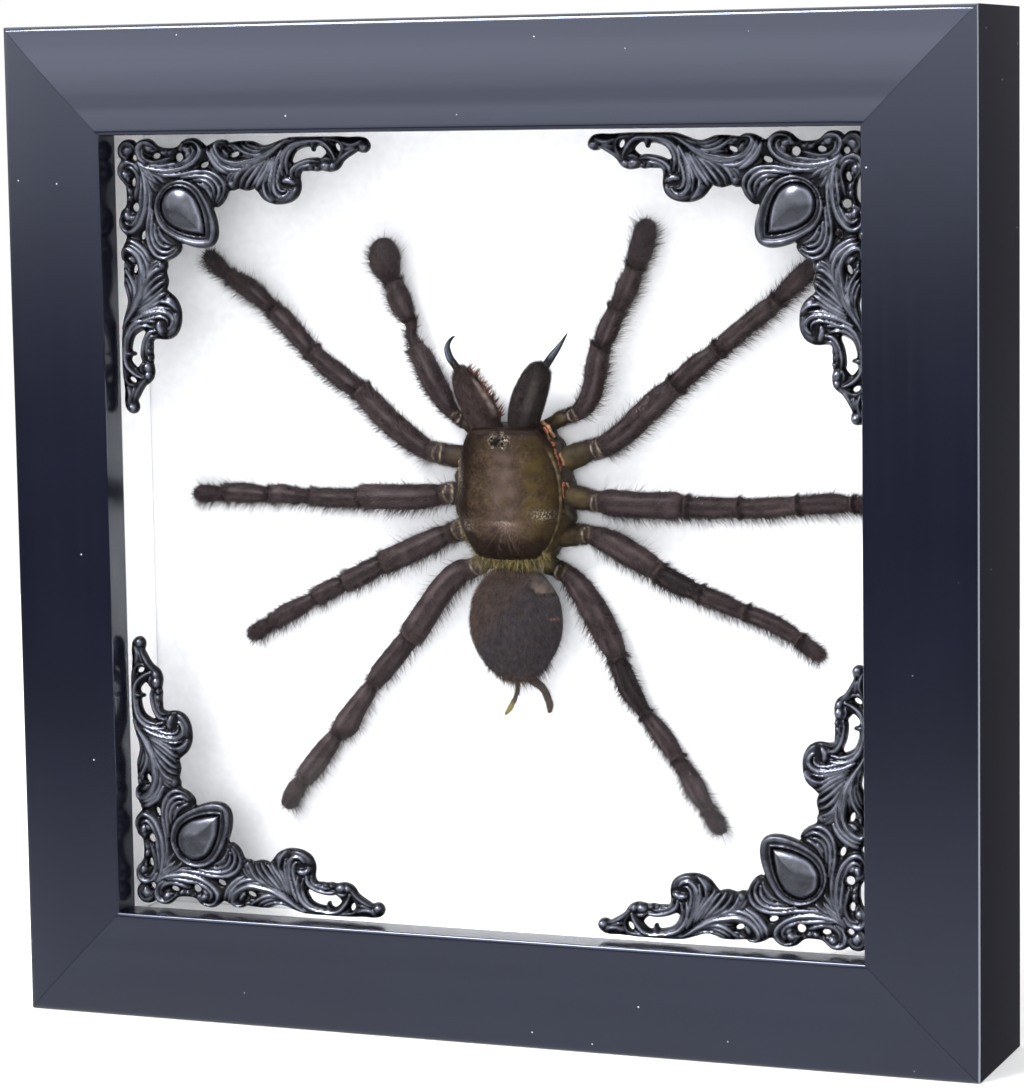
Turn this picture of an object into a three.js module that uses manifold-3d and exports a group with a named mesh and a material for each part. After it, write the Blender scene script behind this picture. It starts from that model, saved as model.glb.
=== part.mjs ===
// A tarantula dried with its legs spread, fixed in a square black shadow-box frame whose front has a
// cast scrollwork ornament in each corner. Millimetres, +Z up, the front faces -Y, and the origin is
// under the middle of the frame.
//
// Inside the file a place is given as (x, z, depth): x and z from the middle of the frame's face, and
// depth behind the plane of its outer front edge.
import * as THREE from "three";
import { mergeVertices } from "three/addons/utils/BufferGeometryUtils.js";
import Module from "manifold-3d";

const wasm = await Module();
wasm.setup();

// ---------------------------------------------------------------- driving dimensions
const OUTER = 203.2; // side of the square frame
const RAIL_WIDTH = 22.1; // seen from the front
const FRAME_DEPTH = 31.6; // outer front edge to the back
const CREST = 1.8; // how far the rails' crest stands in front of the outer edge
const LIP_DEPTH = 5.8; // where the lip that holds the glass ends
const REBATE = 6.0; // width of the step behind the lip
const MITRE_GAP = 0.15; // each rail ends this far short of the mitre

const GLASS_FRONT = 6.1;
const GLASS_THICKNESS = 2.0;
const BOARD_FRONT = 24.5;
const BOARD_THICKNESS = 3.0;
const BACK_FRONT = 27.8;
const BACK_THICKNESS = 2.2;
const SPACER_THICKNESS = 3.0;
const REBATE_PLAY = 0.5; // between the glass, board or back and the rails
const CLEAR = 0.3; // between pieces that rest on each other

const ORNAMENT_CORNER = 78.8; // the castings' outer corner, from the middle
const ORNAMENT_BACK = 5.8;
const ORNAMENT_PLATE = 0.8; // thickness of the pierced plate
const RIDGE_RADIUS = 0.75;
const GEM_TOP = 3.0; // depth of the cabochon's highest point

const BODY_AXIS = 1.0; // x of the spider's middle line
const LIMB_SIDES = 8;

const HALF = OUTER / 2;
const HOLE_HALF = HALF - RAIL_WIDTH + REBATE; // half the space behind the lip

// ---------------------------------------------------------------- materials
const finish = (color, roughness, metalness = 0) =>
  new THREE.MeshStandardMaterial({ color, roughness, metalness });

const BLACK_LACQUER = finish(0x23242c, 0.35);
const CLEAR_GLASS = finish(0xe8f0ee, 0.05);
const FOAM = finish(0xf2f2f0, 0.9);
const WHITE_BOARD = finish(0xf6f6f5, 0.85);
const HARDBOARD = finish(0x8a6442, 0.8);
const STEEL = finish(0xb9b9b6, 0.4, 1);
const PEWTER = finish(0x3c3f48, 0.35, 0.9);
const CARAPACE = finish(0x4b4433, 0.4);
const VELVET = finish(0x37332f, 0.9);
const LEG_BROWN = finish(0x3a2f2c, 0.75);
const FANG_BLACK = finish(0x14141a, 0.15);

// ---------------------------------------------------------------- solids and joins
const at = (x, z, depth) => new THREE.Vector3(x, depth, z);

// Position only, shared vertices merged, faces pointing out.
function closed(geometry) {
  geometry.deleteAttribute("normal");
  geometry.deleteAttribute("uv");
  const merged = mergeVertices(geometry, 1e-4);
  const p = merged.attributes.position;
  const index = merged.index.array;
  const kept = [];
  for (let i = 0; i < index.length; i += 3) {
    const [a, b, c] = [index[i], index[i + 1], index[i + 2]];
    if (a !== b && b !== c && c !== a) kept.push(a, b, c);
  }
  let volume = 0;
  const corner = [new THREE.Vector3(), new THREE.Vector3(), new THREE.Vector3()];
  for (let i = 0; i < kept.length; i += 3) {
    corner.forEach((v, k) => v.fromBufferAttribute(p, kept[i + k]));
    volume += corner[0].dot(corner[1].clone().cross(corner[2]));
  }
  if (volume < 0) kept.reverse();
  merged.setIndex(kept);
  return merged;
}

function toManifold(geometry) {
  const g = closed(geometry);
  return new wasm.Manifold(
    new wasm.Mesh({
      numProp: 3,
      vertProperties: new Float32Array(g.attributes.position.array),
      triVerts: new Uint32Array(g.index.array),
    }),
  );
}

function fromManifold(solid) {
  const m = solid.getMesh();
  const g = new THREE.BufferGeometry();
  g.setAttribute("position", new THREE.BufferAttribute(new Float32Array(m.vertProperties), 3));
  g.setIndex(new THREE.BufferAttribute(new Uint32Array(m.triVerts), 1));
  return g;
}

const joined = (first, ...rest) =>
  fromManifold(rest.reduce((sum, g) => sum.add(toManifold(g)), toManifold(first)));

// A flat piece: its outline in x and z, from one depth to another.
function slab(shape, front, back) {
  const g = new THREE.ExtrudeGeometry(shape, { depth: back - front, bevelEnabled: false, curveSegments: 6 });
  g.rotateX(Math.PI / 2);
  g.translate(0, back, 0);
  return g;
}

function block(x0, x1, z0, z1, front, back) {
  const g = new THREE.BoxGeometry(x1 - x0, back - front, z1 - z0);
  return g.translate((x0 + x1) / 2, (front + back) / 2, (z0 + z1) / 2);
}

// ---------------------------------------------------------------- frame
// One moulding's section: distance in from the outer edge, and depth.
const RAIL_SECTION = [
  [0, FRAME_DEPTH],
  [0, 0.7],
  [0.7, 0],
  [5, -0.85],
  [10, -1.5],
  [13, -1.72],
  [15.5, -CREST],
  [18, -1.62],
  [20, -1.2],
  [21.1, -0.9],
  [21.3, -1.1],
  [21.8, -1.05],
  [RAIL_WIDTH, -0.7],
  [RAIL_WIDTH, LIP_DEPTH],
  [RAIL_WIDTH - REBATE, LIP_DEPTH],
  [RAIL_WIDTH - REBATE, FRAME_DEPTH],
].map(([inset, depth]) => new THREE.Vector2(inset, depth));

// The top rail: the section swept along x, its ends moved onto the mitres.
function railGeometry() {
  const g = new THREE.ExtrudeGeometry(new THREE.Shape(RAIL_SECTION), { depth: 2, bevelEnabled: false });
  const p = g.attributes.position;
  for (let i = 0; i < p.count; i++) {
    const inset = p.getX(i);
    const end = p.getZ(i) - 1;
    p.setXYZ(i, end * (HALF - inset - MITRE_GAP), p.getY(i), HALF - inset);
  }
  return closed(g);
}

// ---------------------------------------------------------------- corner ornaments
// u runs along the arm from the corner, v away from the rail; each casting is the same on both sides
// of its diagonal. This is one arm's outline, from the corner out along the rail and back to the gem.
const ARM_OUTLINE = [
  [0.85, 0.85], [2.4, 0.2], [4.3, 1.2],
  [5, 0.4], [7.6, 0.2], [9.3, 1.8], [13.7, 1.8],
  [14.7, 0.5], [16.8, 0.1], [20, 1.6],
  [21.4, 0.6], [25.1, 0.8], [30, 1], [32.6, 1.6],
  [35.7, 0.8], [38.8, 0], [53.4, 0.1],
  [55.5, 1], [55.8, 2.6], [54.4, 3.5], [52, 4],
  [49.6, 5.6], [48.6, 6.9], [46.8, 7.2], [41.2, 7], [40.6, 7.8],
  [40.6, 10.6], [39.7, 12.4], [38, 13.4], [34.9, 13.6], [32.6, 12.8], [30.3, 10.2],
  [28.4, 10.7], [24.5, 10.6],
  [23.8, 12.6], [22.2, 14.1], [21.9, 17], [22.2, 19.5],
];
const GEM_RING_TIP = [21.8, 21.8];

// Piercings: centre, half length along the arm, half width, slant in degrees.
const ARM_HOLES = [
  [8.8, 3.7, 0.95, 0.6, 0],
  [13.9, 4.1, 1, 0.85, 0],
  [26.2, 3.5, 1.1, 0.5, 35],
];
const CORNER_HOLE = [3.9, 3.9, 0.65, 0.65, 0];
const CRESCENT_HOLE = [[39, 5], [39.9, 3.1], [41.8, 2.2], [45.3, 2], [46.4, 3.2], [45.3, 4.3], [42.2, 4.3]];

// Raised scrolls and stems, each as points along its crest.
const ARM_RIDGES = [
  [[6.5, 1.4], [5.4, 3.6], [8, 5.8], [13, 6.2], [17.3, 5.1], [19, 2.6]],
  [[20.6, 2.2], [22.6, 5.2], [26.5, 6.1], [31.5, 4.6], [38, 1.2]],
  [[37.4, 5], [35, 8], [34.2, 12.4]],
  [[38.6, 8.6], [41, 5.8], [47.4, 5.8], [53.6, 1.9]],
];
const RIDGE_SIDES = 4;

// The gem's setting about a middle on the diagonal: a round end toward the corner and a point inward.
const GEM_CENTRE = 20.4; // along the diagonal
const GEM_RING_RADIUS = 6.4;
const GEM_RING_REACH = 10.4; // from the centre to the point
const GEM_SIDES = 16;
// Rings from the middle out, as a share of that outline, and depth: cabochon, groove, rim, back.
const GEM_RINGS = [
  [0, GEM_TOP], [0.32, GEM_TOP + 0.25], [0.58, 4], [0.7, 4.9],
  [0.8, 4.1], [0.93, 4.2], [1, 5.1], [1, ORNAMENT_BACK], [0, ORNAMENT_BACK],
];

const mirrored = (points) => points.map(([u, v, ...rest]) => [v, u, ...rest]).reverse();
const flat = (points) => points.map(([u, v]) => new THREE.Vector2(u, -v));

function ellipse([u, v, halfLength, halfWidth, slant], sides = 5) {
  const turn = THREE.MathUtils.degToRad(slant);
  return Array.from({ length: sides }, (_, i) => {
    const a = (i / sides) * 2 * Math.PI;
    const [x, y] = [halfLength * Math.cos(a), halfWidth * Math.sin(a)];
    return [u + x * Math.cos(turn) - y * Math.sin(turn), v + x * Math.sin(turn) + y * Math.cos(turn)];
  });
}

function piercedPlate() {
  const outline = flat([...ARM_OUTLINE, GEM_RING_TIP, ...mirrored(ARM_OUTLINE.slice(1))]);
  const shape = new THREE.Shape(outline.reverse()); // counterclockwise, as its holes need
  const arm = [...ARM_HOLES.map((h) => ellipse(h)), CRESCENT_HOLE];
  for (const hole of [...arm, ...arm.map(mirrored), ellipse(CORNER_HOLE)])
    shape.holes.push(new THREE.Path(flat(hole)));
  return slab(shape, ORNAMENT_BACK - ORNAMENT_PLATE, ORNAMENT_BACK);
}

function ridge(points) {
  const depth = ORNAMENT_BACK - ORNAMENT_PLATE;
  const path = new THREE.CatmullRomCurve3(points.map(([u, v]) => at(u, -v, depth)));
  const section = new THREE.Shape(
    ellipse([0, 0, RIDGE_RADIUS, RIDGE_RADIUS, 0], RIDGE_SIDES).map(([x, y]) => new THREE.Vector2(x, y)),
  );
  return new THREE.ExtrudeGeometry(section, { steps: points.length, extrudePath: path, bevelEnabled: false });
}

// The setting's outline at an angle from the point: an arc at the round end, drawn out to the point.
function gemOutline(angle) {
  const along = Math.cos(angle);
  const across = GEM_RING_RADIUS * Math.sin(angle) * (1 - 0.12 * Math.max(along, 0));
  const reach = along > 0 ? GEM_RING_REACH * along ** 1.15 : GEM_RING_RADIUS * along;
  const [s, t] = [GEM_CENTRE + reach, across];
  return [(s + t) / Math.SQRT2, -(s - t) / Math.SQRT2];
}

// A closed solid of rings: a lathed profile of shares and depths, opened out to an outline.
function ringed(outline, [centreX, centreZ], rings, sides, reshape = (x, z, share, depth) => depth) {
  const profile = rings.map(([share, depth]) => new THREE.Vector2(share, depth));
  const g = new THREE.LatheGeometry(profile, sides);
  const p = g.attributes.position;
  for (let i = 0; i < p.count; i++) {
    const share = Math.hypot(p.getX(i), p.getZ(i));
    const [edgeX, edgeZ] = outline(share > 0 ? Math.atan2(p.getX(i), p.getZ(i)) : 0);
    const x = centreX + (edgeX - centreX) * share;
    const z = centreZ + (edgeZ - centreZ) * share;
    p.setXYZ(i, x, reshape(x, z, share, p.getY(i)), z);
  }
  return closed(g);
}

function ornamentGeometry() {
  const middle = GEM_CENTRE / Math.SQRT2;
  const gem = ringed(gemOutline, [middle, -middle], GEM_RINGS, GEM_SIDES);
  const ridges = [...ARM_RIDGES, ...ARM_RIDGES.map(mirrored)].map(ridge);
  return joined(piercedPlate(), gem, ...ridges);
}

// ---------------------------------------------------------------- spider: body
// Half outlines as [half width, z], front to back.
const CARAPACE_HALF = [
  [5, 20.5], [7.2, 19.9], [8.8, 17.4], [10.4, 13], [11.1, 8], [11.1, 4], [10.2, 0], [8.2, -3.8], [5.2, -6.2],
];
const CARAPACE_MIDDLE = [BODY_AXIS, 7];
// Dome, rim, then the sternum underneath.
const CARAPACE_RINGS = [
  [0, 12.5], [0.3, 12.7], [0.55, 13.1], [0.76, 14], [0.9, 15.5], [0.98, 17.2], [1, 18.1],
  [0.56, 18.4], [0.54, 21.8], [0.35, 22.6], [0, 22.7],
];
const HEAD_START = 9; // z where the carapace begins to rise toward its front edge
const HEAD_RISE = 2.6;

const ABDOMEN_HALF = [
  [3.4, -7.8], [6.6, -10.2], [8.9, -13.6], [9.75, -18], [9.4, -21.6], [7.8, -25.6], [5, -28.7], [2.4, -30.4],
];
const ABDOMEN_AXIS = 1.8;
const ABDOMEN_MIDDLE = [ABDOMEN_AXIS, -18.5];
const ABDOMEN_RINGS = [
  [0, 12.6], [0.35, 13], [0.62, 14], [0.82, 15.3], [0.95, 16.6], [1, 17.8],
  [0.94, 19.4], [0.8, 21.2], [0.55, 22.8], [0, 23.4],
];

// A closed outline through a half outline and its mirror image, read by angle.
function bodyOutline(half, axis) {
  const right = half.map(([w, z]) => at(axis + w, z, 0));
  const left = half.map(([w, z]) => at(axis - w, z, 0)).reverse();
  const loop = new THREE.CatmullRomCurve3([...right, ...left], true);
  return (angle) => {
    const turn = (angle / (2 * Math.PI) + 1) % 1;
    const p = loop.getPoint(turn);
    return [p.x, p.z];
  };
}

function carapaceGeometry() {
  const rise = (x, z, share, depth) => {
    const forward = THREE.MathUtils.smoothstep(z, HEAD_START, 20);
    return depth < 18.2 ? depth - HEAD_RISE * forward * share ** 2 : depth;
  };
  const shell = ringed(bodyOutline(CARAPACE_HALF, BODY_AXIS), CARAPACE_MIDDLE, CARAPACE_RINGS, 28, rise);
  const eyes = new THREE.SphereGeometry(1, 8, 6);
  eyes.scale(2, 1.3, 1.4).translate(BODY_AXIS - 0.5, 12.5, 17.8);
  return joined(shell, eyes);
}

const abdomenGeometry = () =>
  ringed(bodyOutline(ABDOMEN_HALF, ABDOMEN_AXIS), ABDOMEN_MIDDLE, ABDOMEN_RINGS, 26);

// ---------------------------------------------------------------- spider: limbs
// A limb from its base to its tip: [x, z, depth, width] at each station, round in section.
function limbGeometry(stations, sides = LIMB_SIDES) {
  const last = stations.length - 1;
  const profile = [
    new THREE.Vector2(0, 0),
    ...stations.map(([, , , width], i) => new THREE.Vector2(width / 2, i)),
    new THREE.Vector2(0, last),
  ];
  const g = new THREE.LatheGeometry(profile, sides);
  const p = g.attributes.position;
  for (let i = 0; i < p.count; i++) {
    const k = Math.round(p.getY(i));
    const [x, z, depth] = stations[k];
    const before = stations[Math.max(k - 1, 0)];
    const after = stations[Math.min(k + 1, last)];
    const run = new THREE.Vector2(after[0] - before[0], after[1] - before[1]).normalize();
    const side = p.getX(i);
    p.setXYZ(i, x + run.y * side, depth + p.getZ(i), z - run.x * side);
  }
  return closed(g);
}

// Legs and palps as [x, z, width] from the coxa to the tarsus, with the narrow places at the joints.
const LEGS = {
  leg_1_left: [
    [-10.9, 14, 4.7], [-14.3, 14.5, 4.8], [-18.2, 15.2, 4.3], [-19.7, 16.3, 4.8], [-23.1, 18.8, 5.2],
    [-27, 22.1, 5.3], [-31.1, 26.1, 4.8], [-32.7, 27.5, 4.3], [-34.7, 28.6, 4.6], [-37.6, 30.7, 4.8],
    [-40.9, 33, 4.3], [-43.3, 34.9, 3.9], [-47, 38.8, 4.4], [-50, 41.8, 4.5], [-52.2, 43.4, 3.5],
    [-56.2, 47, 4.4], [-59.7, 49, 4.1], [-62.5, 50.3, 2.9], [-63.8, 51.5, 3.5], [-66.1, 53.7, 3.7],
    [-67.7, 55, 2.4],
  ],
  leg_2_left: [
    [-10.9, 6.5, 4.7], [-12.8, 6.6, 4.8], [-15.4, 6.3, 4.2], [-16.7, 6.1, 4.9], [-20.5, 5.7, 5.6],
    [-26.4, 5.6, 5.6], [-30.9, 5.6, 5.3], [-32.8, 5.2, 4.5], [-35.7, 5.1, 4.3], [-40.8, 5.1, 4.3],
    [-44.6, 5.2, 3.3], [-48.1, 5.3, 3.7], [-51.6, 5.7, 4.1], [-54.1, 5.3, 3.3], [-58.2, 5.5, 4.3],
    [-62.4, 5.6, 4.1], [-65, 5.2, 2.9], [-66.6, 5.2, 3.6], [-69.5, 5.1, 4], [-71.4, 5, 2.6],
  ],
  leg_3_left: [
    [-9.8, -0.6, 4.7], [-11.8, -1, 4.7], [-14.1, -1.8, 4.1], [-15.8, -2.5, 4.8], [-18.6, -3.9, 5.3],
    [-23.4, -6, 5.4], [-27, -7.6, 5], [-28.3, -8.1, 4.3], [-31.7, -9.8, 4.6], [-35.2, -11.7, 4.6],
    [-37.2, -12.4, 3.5], [-39.5, -13.5, 4.2], [-42.6, -15, 4], [-44.1, -15.9, 3.1], [-48.3, -18.1, 4],
    [-51.8, -19.9, 4.1], [-54.2, -21.4, 2.9], [-55.9, -22.3, 3.6], [-58.3, -23.7, 3.5], [-60, -24.5, 2],
  ],
  leg_4_left: [
    [-7, -7.8, 3.9], [-9.5, -8.8, 4], [-11.8, -9.7, 4.9], [-15.1, -12.9, 5.1], [-18, -17, 5.2],
    [-20.9, -21.3, 5.4], [-22.5, -23.1, 4.4], [-26.2, -27.4, 4.4], [-29.1, -30.7, 4.2], [-31.3, -33.1, 2.9],
    [-33, -35.5, 3.6], [-35.5, -39, 4.4], [-37.4, -42, 5], [-39.6, -43.8, 3.2], [-42.2, -47.1, 4.1],
    [-45.8, -51.6, 4.5], [-48.1, -54.1, 3.1], [-49.5, -56, 3.8], [-51.1, -58.5, 3.6], [-52.2, -60.2, 2.4],
  ],
  leg_1_right: [
    [12.7, 14.2, 5], [15, 15, 4.9], [17.7, 15.9, 4.5], [20, 16.6, 4.8], [24.4, 19.4, 5.2],
    [28.5, 23.1, 5.4], [32.5, 26.6, 5.3], [34.5, 28.3, 4.5], [36.3, 29.9, 4.5], [39.8, 32.9, 4.7],
    [43.1, 35.4, 3.8], [46.1, 37.8, 4.3], [50, 41, 4.2], [53.9, 44, 4.2], [55.2, 45.1, 3.5],
    [58.3, 48, 4.1], [61.8, 51.2, 4.4], [64.5, 53.4, 4], [65.7, 54.5, 2.9], [67.6, 56.3, 3.6],
    [69.6, 58.2, 3.6], [70.6, 59.2, 2.3],
  ],
  leg_2_right: [
    [12.8, 6.6, 5], [15.2, 6.1, 4.9], [18.3, 5.5, 4.3], [20.8, 5.6, 5.3], [24.4, 5.3, 5.7],
    [29.5, 5.2, 5.6], [35, 5.3, 5.8], [36.5, 5.1, 4.7], [39.3, 4.9, 4.7], [43.3, 5, 4.8],
    [47, 5, 4.1], [50, 5, 4.2], [55, 5.2, 4.4], [58.6, 5.6, 3.8], [61.8, 5.9, 4],
    [65.8, 6.2, 4.3], [68.7, 6.2, 3.8], [70, 6.1, 3], [72, 6.2, 3.6], [75.2, 6.2, 3.8], [76.7, 6.2, 2.4],
  ],
  leg_3_right: [
    [12.2, -1.3, 4.8], [14.1, -1.2, 4.6], [16.9, -1.2, 4], [19.2, -1.7, 4.8], [22.4, -2.9, 5.5],
    [26.5, -5, 5.5], [29.7, -6.9, 5], [30.8, -7.7, 4.4], [33.3, -9.3, 4.7], [36.7, -10.9, 4.5],
    [38.7, -11.9, 3.6], [41.1, -12.7, 4.2], [45, -14.2, 4.1], [47.9, -15.5, 3.3], [50.8, -16.3, 3.7],
    [54.8, -17.9, 3.8], [57.9, -19.7, 3.5], [59.2, -20.6, 2.9], [61.1, -21.8, 3.5], [63.6, -23.7, 3.4],
    [64.7, -24.8, 2.3],
  ],
  leg_4_right: [
    [9.8, -8.4, 4], [11.6, -9.2, 4.1], [13.6, -10.7, 4.9], [15.9, -13.4, 5.6], [18.5, -17.3, 6],
    [21.3, -22.4, 5.5], [22.4, -25.6, 4.2], [23.5, -28.4, 4.6], [25.2, -32.4, 4.6], [26.8, -35, 3.5],
    [27.5, -36.5, 2.9], [29.1, -38.2, 3.5], [31.5, -41, 4.3], [33.2, -43.7, 4], [34.1, -45.3, 3.2],
    [36, -47.9, 3.8], [38.3, -51.6, 4.6], [40.2, -55.5, 3.1], [41.6, -57.2, 3.8], [42.9, -59.3, 3.6],
    [43.3, -60.6, 2.4],
  ],
};
const PALPS = {
  palp_left: [
    [-9.8, 20.6, 2.6], [-12.5, 23, 3.4], [-14.5, 26.6, 4.8], [-16.6, 30.6, 5.2], [-18.4, 34.1, 4.7],
    [-20.3, 36.2, 3.2], [-21.2, 38.5, 2.5], [-21.3, 41, 2.5], [-22, 43, 4.2], [-23.1, 45, 5.1],
    [-24, 47, 4.7], [-25.1, 49, 3.8], [-25.7, 50.6, 5], [-26.3, 53, 6.8], [-26.8, 55.5, 6.4], [-27.4, 57.3, 4],
  ],
  palp_right: [
    [9.3, 21.2, 2.9], [11, 22, 3.4], [13.6, 22.8, 3.4], [15.6, 24.1, 4], [17.5, 26.6, 4.6],
    [18.5, 29.6, 4.7], [19.2, 33.1, 5], [19.5, 35.7, 4.2], [20.3, 37.3, 4.3], [21.6, 40.1, 4.7],
    [22.8, 43.1, 4], [24.1, 45.5, 4.3], [25.5, 48.5, 4.9], [26.5, 51.6, 3.7], [27.2, 53.3, 4.6],
    [28.4, 56.5, 5.3], [29, 60, 4.5], [28.8, 61.3, 2.8],
  ],
};
// How high the underside of a limb lies off the board, as [share of its length, lift].
const LEG_LIFT = [[0, 1.45], [0.12, 1.6], [0.3, 2.2], [0.48, 1.9], [0.65, 1.3], [0.85, 0.7], [1, 0.35]];
const PALP_LIFT = [[0, 1.9], [0.13, 2.1], [0.3, 2.6], [0.5, 2.5], [0.7, 1.8], [0.85, 1.1], [1, 0.6]];

function liftAt(table, share) {
  const k = Math.max(1, table.findIndex(([s]) => s >= share - 1e-9));
  const [[s0, a], [s1, b]] = [table[k - 1], table[k]];
  return THREE.MathUtils.mapLinear(share, s0, s1, a, b);
}

// Adds the depth to each station, so that the limb's underside follows its lift.
function overBoard(stations, liftTable) {
  const reach = [0];
  for (let i = 1; i < stations.length; i++) {
    const [[x0, z0], [x1, z1]] = [stations[i - 1], stations[i]];
    reach.push(reach[i - 1] + Math.hypot(x1 - x0, z1 - z0));
  }
  return stations.map(([x, z, width], i) => {
    const lift = liftAt(liftTable, reach[i] / reach.at(-1));
    return [x, z, BOARD_FRONT - lift - width / 2, width];
  });
}

// Jaws, fangs and spinnerets hang clear of the board: [x, z, depth, width].
const JAWS = {
  chelicera_left: [
    [-4.1, 20.9, 17.9, 6.9], [-4.9, 22.8, 17.8, 7.2], [-6.1, 25.2, 17.6, 7], [-7.8, 28.2, 17.5, 5.9],
    [-8.7, 30.5, 17.4, 4.6], [-9.4, 32.4, 17.4, 2.6],
  ],
  chelicera_right: [
    [3.9, 20.9, 17.9, 6.7], [4.6, 24.2, 17.7, 7.3], [5.7, 27.2, 17.5, 7.1], [7, 30.2, 17.4, 6.2],
    [8, 32.2, 17.4, 4.6], [8.4, 33.2, 17.4, 2.6],
  ],
};
const FANGS = {
  fang_left: [
    [-10.6, 33.1, 17.3, 1.6], [-11.4, 34.2, 17.3, 1.6], [-12, 35.8, 17.5, 1.4], [-11.9, 37, 17.7, 1],
    [-11.2, 38.1, 18, 0.6], [-10.5, 38.5, 18.2, 0.25],
  ],
  fang_right: [
    [9.8, 33.8, 17.3, 1.7], [10.5, 34.8, 17.4, 1.6], [11.6, 36.3, 17.7, 1.2], [12.6, 37.9, 18.1, 0.7],
    [13.4, 39.3, 18.5, 0.25],
  ],
};
const SPINNERETS = {
  spinneret_left: [
    [1.1, -31, 19.5, 0.9], [1.2, -32.8, 19.6, 0.9], [0.5, -34.8, 19.8, 0.9], [0.1, -35.4, 19.9, 1.1],
    [-0.8, -36.9, 20.1, 1.2], [-2, -38.3, 20.4, 0.6],
  ],
  spinneret_right: [
    [4.9, -31, 19.5, 1.5], [6.6, -32.3, 19.6, 1.3], [7.6, -34.3, 19.8, 1.2], [7.9, -36, 20.1, 1.2],
    [7.7, -37.5, 20.4, 0.6],
  ],
};

// ---------------------------------------------------------------- back
const HANGER_HALF = 22;
const HANGER_HEIGHT = 7;
const HANGER_Z = 62;
const HANGER_TEETH = 9;
const HANGER_BACK = BACK_FRONT + BACK_THICKNESS + 1.3;
const TAB_REACH = 12;

// A toothed strip bent so that it stands off the back panel, joined to a foot at each end.
function hangerGeometry() {
  const pitch = (2 * HANGER_HALF - 14) / HANGER_TEETH;
  const points = [[-HANGER_HALF, HANGER_HEIGHT / 2], [-HANGER_HALF, -HANGER_HEIGHT / 2]];
  for (let i = 0; i < HANGER_TEETH; i++) {
    const x = -HANGER_HALF + 7 + i * pitch;
    points.push([x, -HANGER_HEIGHT / 2], [x + pitch / 2, -HANGER_HEIGHT / 2 + 1.8]);
  }
  points.push([HANGER_HALF - 7, -HANGER_HEIGHT / 2], [HANGER_HALF, -HANGER_HEIGHT / 2]);
  points.push([HANGER_HALF, HANGER_HEIGHT / 2]);
  const strip = slab(
    new THREE.Shape(points.map(([x, z]) => new THREE.Vector2(x, z + HANGER_Z))),
    HANGER_BACK - 0.7,
    HANGER_BACK,
  );
  const panelBack = BACK_FRONT + BACK_THICKNESS + CLEAR;
  const foot = (side) =>
    block(
      side * (HANGER_HALF - 2) - 2, side * (HANGER_HALF - 2) + 2,
      HANGER_Z - HANGER_HEIGHT / 2, HANGER_Z + HANGER_HEIGHT / 2, panelBack, HANGER_BACK - 0.2,
    );
  return joined(strip, foot(-1), foot(1));
}

// ---------------------------------------------------------------- assembly
const part = new THREE.Group();
const face = new THREE.Group(); // holds everything in (x, depth, z) from the middle of the face
face.position.set(0, -(FRAME_DEPTH - CREST) / 2, HALF);
part.add(face);

function add(name, geometry, material) {
  const mesh = new THREE.Mesh(geometry, material);
  mesh.name = name;
  face.add(mesh);
  return mesh;
}

["rail_top", "rail_right", "rail_bottom", "rail_left"].forEach((name, i) => {
  add(name, railGeometry(), BLACK_LACQUER).rotation.y = (i * Math.PI) / 2;
});

const paneHalf = HOLE_HALF - REBATE_PLAY;
add(
  "glass_pane",
  block(-paneHalf, paneHalf, -paneHalf, paneHalf, GLASS_FRONT, GLASS_FRONT + GLASS_THICKNESS),
  CLEAR_GLASS,
);
add(
  "mount_board",
  block(-paneHalf, paneHalf, -paneHalf, paneHalf, BOARD_FRONT, BOARD_FRONT + BOARD_THICKNESS),
  WHITE_BOARD,
);
add(
  "back_panel",
  block(-paneHalf, paneHalf, -paneHalf, paneHalf, BACK_FRONT, BACK_FRONT + BACK_THICKNESS),
  HARDBOARD,
);

const spacerOuter = HOLE_HALF - CLEAR;
const spacerInner = spacerOuter - SPACER_THICKNESS;
const spacerFront = GLASS_FRONT + GLASS_THICKNESS + CLEAR;
const spacerBack = BOARD_FRONT - CLEAR;
for (const [name, side] of [["spacer_top", 1], ["spacer_bottom", -1]]) {
  const [low, high] = [side * spacerInner, side * spacerOuter].sort((a, b) => a - b);
  add(name, block(-spacerOuter, spacerOuter, low, high, spacerFront, spacerBack), FOAM);
}
for (const [name, side] of [["spacer_right", 1], ["spacer_left", -1]]) {
  const [low, high] = [side * spacerInner, side * spacerOuter].sort((a, b) => a - b);
  const half = spacerInner - CLEAR;
  add(name, block(low, high, -half, half, spacerFront, spacerBack), FOAM);
}

add("hanger", hangerGeometry(), STEEL);
["tab_top", "tab_right", "tab_bottom", "tab_left"].forEach((name, i) => {
  const tabFront = BACK_FRONT + BACK_THICKNESS + CLEAR;
  const tab = block(-4, 4, HOLE_HALF - TAB_REACH, HOLE_HALF - CLEAR, tabFront, tabFront + 0.6);
  add(name, tab, STEEL).rotation.y = (i * Math.PI) / 2;
});

const ornament = ornamentGeometry();
for (const [corner, x, z] of [["top_left", -1, 1], ["top_right", 1, 1], ["bottom_left", -1, -1], ["bottom_right", 1, -1]]) {
  const mesh = add("ornament_" + corner, ornament, PEWTER);
  mesh.position.set(x * ORNAMENT_CORNER, 0, z * ORNAMENT_CORNER);
  mesh.scale.set(-x, 1, z);
}

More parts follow.
